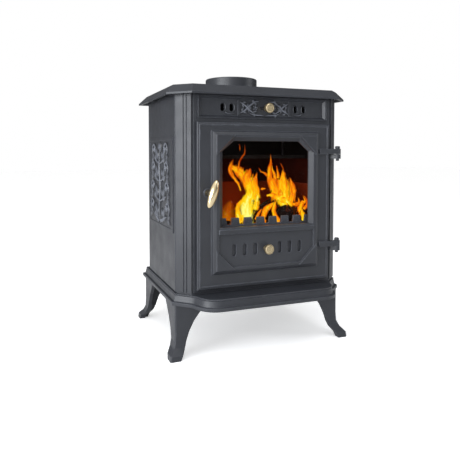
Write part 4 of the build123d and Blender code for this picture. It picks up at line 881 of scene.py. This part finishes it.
class STOVE_OT_fire(bpy.types.Operator):
    """Lay logs and embers on the grate and raise the flames"""

    bl_idname = "stove.fire"
    bl_label = "Fire"
    # Height from which the flame height is scaled, in mm.
    ROOT_Z = 262.0
    # Logs: both ends and the radius in mm.
    LOGS = (
        ("log_back", (-92, 40, 276), (96, 22, 279), 20),
        ("log_low_left", (-74, -58, 268), (8, -34, 270), 13),
        ("log_low_middle", (6, -70, 267), (68, -50, 270), 11),
        ("log_large", (76, -74, 292), (130, -16, 296), 23),
        ("log_upper", (24, -52, 300), (78, -32, 323), 13),
        ("log_low_right", (112, -62, 268), (158, -34, 272), 12),
        ("log_far_right", (146, -62, 304), (160, -26, 300), 9),
    )
    # Point lights: place in mm and share of the firelight setting.
    FIRELIGHTS = (((-118, 10, 300), 1.0), ((60, -20, 330), 0.35))
    HAZE_SHARE = 0.55
    FIRELIGHT_COLOUR = (1.0, 0.26, 0.03)
    FIRELIGHT_RADIUS = 40 * MM
    # Each tongue: depth, heat at its root and tip, then places as (x, z, width) in mm.
    FLAMES = {
        "flame_left": (
            (-78, 1.12, 0.40, ((-13, 268, 30), (-15, 291, 38), (-18, 309, 46), (-14, 326, 50),
                               (-6, 344, 42), (-8, 362, 40), (-15, 379, 38), (-29, 392, 30),
                               (-46, 403, 23), (-58, 411, 14), (-52, 427, 2))),
            (-74, 0.86, 0.42, ((4, 306, 17), (10, 329, 19), (12, 349, 14), (6, 366, 13),
                               (6, 380, 10), (9, 396, 2))),
            (-82, 0.70, 0.36, ((-18, 367, 24), (-20, 384, 22), (-14, 396, 12), (-12, 406, 2))),
            (-84, 0.50, 0.34, ((-36, 353, 7), (-42, 369, 8), (-53, 384, 10), (-62, 398, 12),
                               (-64, 409, 7), (-57, 420, 1))),
            (-70, 0.88, 0.55, ((-32, 276, 18), (-37, 301, 17), (-37, 318, 13), (-26, 334, 4))),
        ),
        "flame_wisp": (
            (-80, 0.34, 0.10, ((-43, 398, 9), (-40, 411, 7), (-38, 421, 5), (-31, 432, 6),
                               (-25, 441, 5), (-25, 462, 1))),
            (-80, 0.22, 0.10, ((-37, 446, 2), (-37, 453, 4), (-38, 461, 1))),
        ),
        "flame_middle": (
            (-62, 0.84, 0.50, ((90, 312, 30), (88, 329, 60), (88, 348, 64), (85, 366, 54),
                               (85, 383, 24), (83, 402, 2))),
            (-66, 0.66, 0.34, ((69, 330, 42), (61, 349, 32), (54, 366, 26), (46, 383, 19),
                               (46, 401, 16), (49, 418, 7), (48, 440, 1))),
            (-60, 0.62, 0.42, ((59, 355, 17), (61, 371, 15), (63, 385, 11), (57, 400, 7),
                               (55, 413, 1))),
            (-58, 0.50, 0.30, ((73, 379, 12), (72, 392, 9), (68, 412, 1))),
            (-60, 0.68, 0.44, ((105, 308, 13), (110, 327, 22), (115, 348, 17), (111, 362, 12),
                               (103, 382, 2))),
            (-70, 0.40, 0.22, ((39, 387, 9), (29, 394, 7), (21, 397, 5), (15, 407, 1))),
            (-60, 0.30, 0.22, ((87, 400, 2), (82, 409, 3), (77, 417, 1))),
            (-84, 0.62, 0.86, ((29, 341, 6), (44, 341, 12), (62, 333, 15), (84, 325, 13),
                               (98, 312, 5))),
            (-60, 0.45, 0.40, ((26, 355, 5), (31, 355, 9), (39, 356, 2))),
        ),
        "flame_low": (
            (-72, 0.62, 0.66, ((30, 268, 12), (28, 291, 15), (34, 306, 19), (47, 316, 12),
                               (56, 324, 2))),
            (-80, 0.70, 0.56, ((74, 268, 18), (57, 286, 14), (50, 301, 14), (52, 317, 11),
                               (56, 327, 2))),
            (-76, 0.50, 0.36, ((19, 276, 6), (20, 291, 5), (22, 302, 1))),
            (-76, 0.58, 0.42, ((5, 284, 9), (13, 299, 8), (21, 309, 2))),
            (-84, 0.55, 0.30, ((103, 268, 8), (112, 281, 7), (118, 293, 6), (121, 305, 1))),
        ),
        "flame_right": (
            (-60, 0.84, 0.42, ((141, 264, 13), (142, 285, 15), (133, 303, 17), (139, 318, 14),
                               (147, 322, 8), (139, 337, 1))),
            (-64, 0.52, 0.36, ((140, 303, 11), (149, 312, 10), (150, 323, 7), (139, 338, 1))),
            (-60, 0.52, 0.34, ((110, 317, 6), (122, 315, 13), (130, 320, 11), (126, 333, 1))),
        ),
        "flame_haze": (
            (-46, 0.55, 0.25, ((-50, 254, 56), (-52, 280, 64), (-50, 304, 52), (-44, 330, 12))),
        ),
    }

    def execute(self, context):
        fire = context.scene.stove_fire
        self.embers(live_embers(fire.ember_glow))
        char = charred_wood(fire.ember_glow)
        for seed, (name, start, end, radius) in enumerate(self.LOGS):
            self.log(name, Vector(start) * MM, Vector(end) * MM, radius * MM, char, seed)
        flame = flame_light("flame", fire.brightness, torn_share=2.6, crisp=0.5)
        haze = flame_light("fire_haze", self.HAZE_SHARE * fire.brightness, torn_share=0.7,
                           crisp=0.0)
        for name, tongues in self.FLAMES.items():
            material = haze if name == "flame_haze" else flame
            self.flame(name, tongues, fire.flame_scale, material)
        for index, (place, share) in enumerate(self.FIRELIGHTS):
            lamp = add_lamp("firelight_%d" % index, "POINT", Vector(place) * MM,
                            self.FIRELIGHT_COLOUR, fire.firelight * share)
            lamp.data.shadow_soft_size = self.FIRELIGHT_RADIUS
        return {"FINISHED"}

    def embers(self, material):
        """A lumpy bed over the grate that thins out toward its rim."""
        low, high = GRATE_BOX
        rows, columns, rim_cells = 40, 56, 6
        depth, lumpiness, sunk = 0.013, 0.006, 0.0005
        rings = []
        for row in range(rows + 1):
            y = low.y + (high.y - low.y) * row / rows
            ring = []
            for column in range(columns + 1):
                x = low.x + (high.x - low.x) * column / columns
                edge = min(row, rows - row, column, columns - column) / rim_cells
                lump = noise.fractal(Vector((x, y, 0.3)) * 42, 0.9, 2.1, 4) * lumpiness
                lift = min(edge, 1.0) ** 0.5 * (depth + lump)
                ring.append(Vector((x, y, high.z - sunk + max(lift, 0.0))))
            rings.append(ring)
        shape = Shape()
        shape.rows(rings)
        make_piece("ember_bed", shape, material, "stove")

    def log(self, name, start, end, radius, material, seed):
        """A split and burnt log."""
        rows, sides = 40, 36
        flatness, bark, rounding = 0.16, 0.10, 0.05
        along = end - start
        axis = along.normalized()
        side = axis.orthogonal().normalized()
        other = axis.cross(side)
        rings = []
        for row in range(rows + 1):
            share = row / rows
            inward = min(share, 1 - share) / rounding
            end_round = min(1.0, inward ** 0.5) if inward > 0 else 0.2
            place = start + along * share
            ring = []
            for step in range(sides):
                turn = 2 * math.pi * step / sides
                flat = 1 - flatness * max(0.0, math.cos(turn * 2 + seed))
                out = side * math.cos(turn) + other * math.sin(turn)
                spot = (place + out * radius) * 60 + Vector((seed, 0, 0))
                rough = noise.fractal(spot, 0.8, 2.2, 4)
                ring.append(place + out * radius * end_round * (flat + bark * rough))
            rings.append(ring)
        shape = Shape()
        shape.rows(rings, closed=True, capped=True)
        make_piece(name, shape, material, "stove")

    def flame(self, name, tongues, tall, material):
        """Several tongues of one flame, each a curled sheet crossed by a narrower one."""
        columns, curl, crossing, thinnest = 8, 0.16, 0.8, 0.6
        shape = Shape()
        uvs, heats = [], []
        for depth, root_heat, tip_heat, places in tongues:
            line = curve_points(places, 8)
            for turned in (False, True):
                rings = []
                for row, (x, z, width) in enumerate(line):
                    along = row / (len(line) - 1)
                    side = side_of(line, row)
                    ring = []
                    for column in range(columns + 1):
                        off = 2 * column / columns - 1
                        reach = off * max(width, thinnest) / 2
                        if turned:
                            place = (x, depth + crossing * reach, z)
                        else:
                            bulge = curl * width * (1 - off * off)
                            place = (x + side.x * reach, depth + bulge, z + side.y * reach)
                        height = self.ROOT_Z + (place[2] - self.ROOT_Z) * tall
                        ring.append(Vector((place[0], place[1], height)) * MM)
                        uvs.append((column / columns, along))
                        heats.append((root_heat + (tip_heat - root_heat) * along, 0.5))
                    rings.append(ring)
                shape.rows(rings)
        piece = make_piece(name, shape, material, "stove")
        for layer_name, values in (("flame", uvs), ("heat", heats)):
            layer = piece.data.uv_layers.new(name=layer_name)
            for loop in piece.data.loops:
                layer.data[loop.index].uv = values[loop.vertex_index]


class STOVE_OT_stage(bpy.types.Operator):
    """Set the floor, the lights and the camera"""

    bl_idname = "stove.stage"
    bl_label = "Studio"
    # Softboxes: place, target, size and share of the power setting.
    SOFTBOXES = {
        "key_left": ((-2.3, -0.95, 0.75), (-0.1, 0.0, 0.35), 1.3, 1.5),
        "front_left": ((-1.55, -1.8, 0.85), (-0.1, 0.0, 0.4), 0.6, 0.4),
        "top_light": ((0.0, -1.2, 2.3), (0.0, 0.0, 0.5), 1.4, 0.5),
        "fill_right": ((2.2, -0.9, 1.0), (0.1, 0.0, 0.35), 1.0, 0.3),
    }
    DAYLIGHT = (0.93, 0.96, 1.0)
    # The surroundings' light grows from the darkest to the brightest toward this direction.
    BRIGHT_SIDE = (-0.62, -0.42, 0.66)
    DARKEST, BRIGHTEST = 0.15, 1.15
    FLOOR_REACH = 12
    FLOOR_GLOW = 0.42
    # The camera's place in metres, tilt and turn in degrees, and shift in frame widths.
    CAMERA_PLACE = (-0.49330, -1.14685, 0.43881)
    CAMERA_TILT = 90 - 2.511
    CAMERA_TURN = -20.777
    CAMERA_SHIFT = (0.0241, -0.1177)

    def execute(self, context):
        stage = context.scene.stove_stage
        self.floor(tuple(stage.floor))
        self.surroundings(context.scene, stage.sky)
        context.scene.view_settings.view_transform = "Standard"
        for name, (place, target, size, share) in self.SOFTBOXES.items():
            lamp = add_lamp(name, "AREA", place, self.DAYLIGHT, share * stage.softbox)
            lamp.data.shape = "SQUARE"
            lamp.data.size = size
            toward = Vector(target) - Vector(place)
            lamp.rotation_euler = toward.to_track_quat("-Z", "Y").to_euler()
        self.camera(context.scene, stage.lens)
        return {"FINISHED"}

    def floor(self, colour):
        """A pale floor that glows to the eye but not in the stove's reflections."""
        n = material_nodes("studio_floor")
        n.feed(Base_Color=n.ramp(n.noise(2.0), [(0.3, scaled(colour, 0.98)), (0.7, colour)]),
               Emission_Strength=n.maths("MULTIPLY", n.camera_ray(), self.FLOOR_GLOW))
        n.set(Roughness=0.9, Specular_IOR_Level=0.1, Emission_Color=(1.0, 1.0, 1.0, 1.0))
        mesh = bpy.data.meshes.new("studio_floor")
        corners = [(x * self.FLOOR_REACH, y * self.FLOOR_REACH, 0)
                   for x, y in ((-1, -1), (1, -1), (1, 1), (-1, 1))]
        mesh.from_pydata(corners, [], [(0, 1, 2, 3)])
        mesh.materials.append(n.owner)
        floor = add_object("studio_floor", mesh)

    def surroundings(self, scene, strength):
        """White to the eye, and as a light brighter from above and from the left."""
        n = Nodes(bpy.data.worlds.new("studio"), "Background")
        direction = n.add("ShaderNodeTexCoord").outputs["Generated"]
        toward = n.vector_maths("DOT_PRODUCT", direction, self.BRIGHT_SIDE)
        light = n.grey_ramp(toward, [(0.0, self.DARKEST), (1.0, self.BRIGHTEST)])
        n.feed(Color=n.mix(n.camera_ray(), light, (1.0, 1.0, 1.0)))
        n.set(Strength=strength)
        scene.world = n.owner

    def camera(self, scene, lens):
        data = bpy.data.cameras.new("camera")
        data.lens = lens
        data.shift_x, data.shift_y = self.CAMERA_SHIFT
        data.clip_start = 0.01
        camera = add_object("camera", data)
        camera.location = self.CAMERA_PLACE
        camera.rotation_euler = (math.radians(self.CAMERA_TILT), 0.0,
                                 math.radians(self.CAMERA_TURN))
        scene.camera = camera


class STOVE_PT_panel(bpy.types.Panel):
    """Lists the stove's settings and the steps that build its looks"""

    bl_label = "Cast iron stove"
    bl_idname = "STOVE_PT_panel"
    bl_space_type = "VIEW_3D"
    bl_region_type = "UI"
    bl_category = "Stove"

    def draw(self, context):
        for settings in SETTINGS:
            group = getattr(context.scene, settings)
            box = self.layout.box()
            for name in group.__annotations__:
                box.prop(group, name)
        for operator in OPERATORS:
            self.layout.operator(operator.bl_idname)


SETTINGS = {
    "stove_finish": StoveFinish,
    "stove_relief": StoveRelief,
    "stove_fire": StoveFire,
    "stove_stage": StoveStage,
}
# In the order in which main calls them.
OPERATORS = (
    STOVE_OT_castings, STOVE_OT_fittings, STOVE_OT_handle, STOVE_OT_side_relief,
    STOVE_OT_frieze, STOVE_OT_fire, STOVE_OT_stage,
)
CLASSES = (*SETTINGS.values(), *OPERATORS, STOVE_PT_panel)


def register():
    for cls in CLASSES:
        bpy.utils.register_class(cls)
    for name, group in SETTINGS.items():
        setattr(bpy.types.Scene, name, bpy.props.PointerProperty(type=group))


def unregister():
    for name in SETTINGS:
        delattr(bpy.types.Scene, name)
    for cls in reversed(CLASSES):
        bpy.utils.unregister_class(cls)


def main():
    register()
    for operator in OPERATORS:
        area, name = operator.bl_idname.split(".")
        result = getattr(getattr(bpy.ops, area), name)()
        if result != {"FINISHED"}:
            raise RuntimeError(operator.bl_label + " did not finish")


if __name__ == "__main__":
    main()
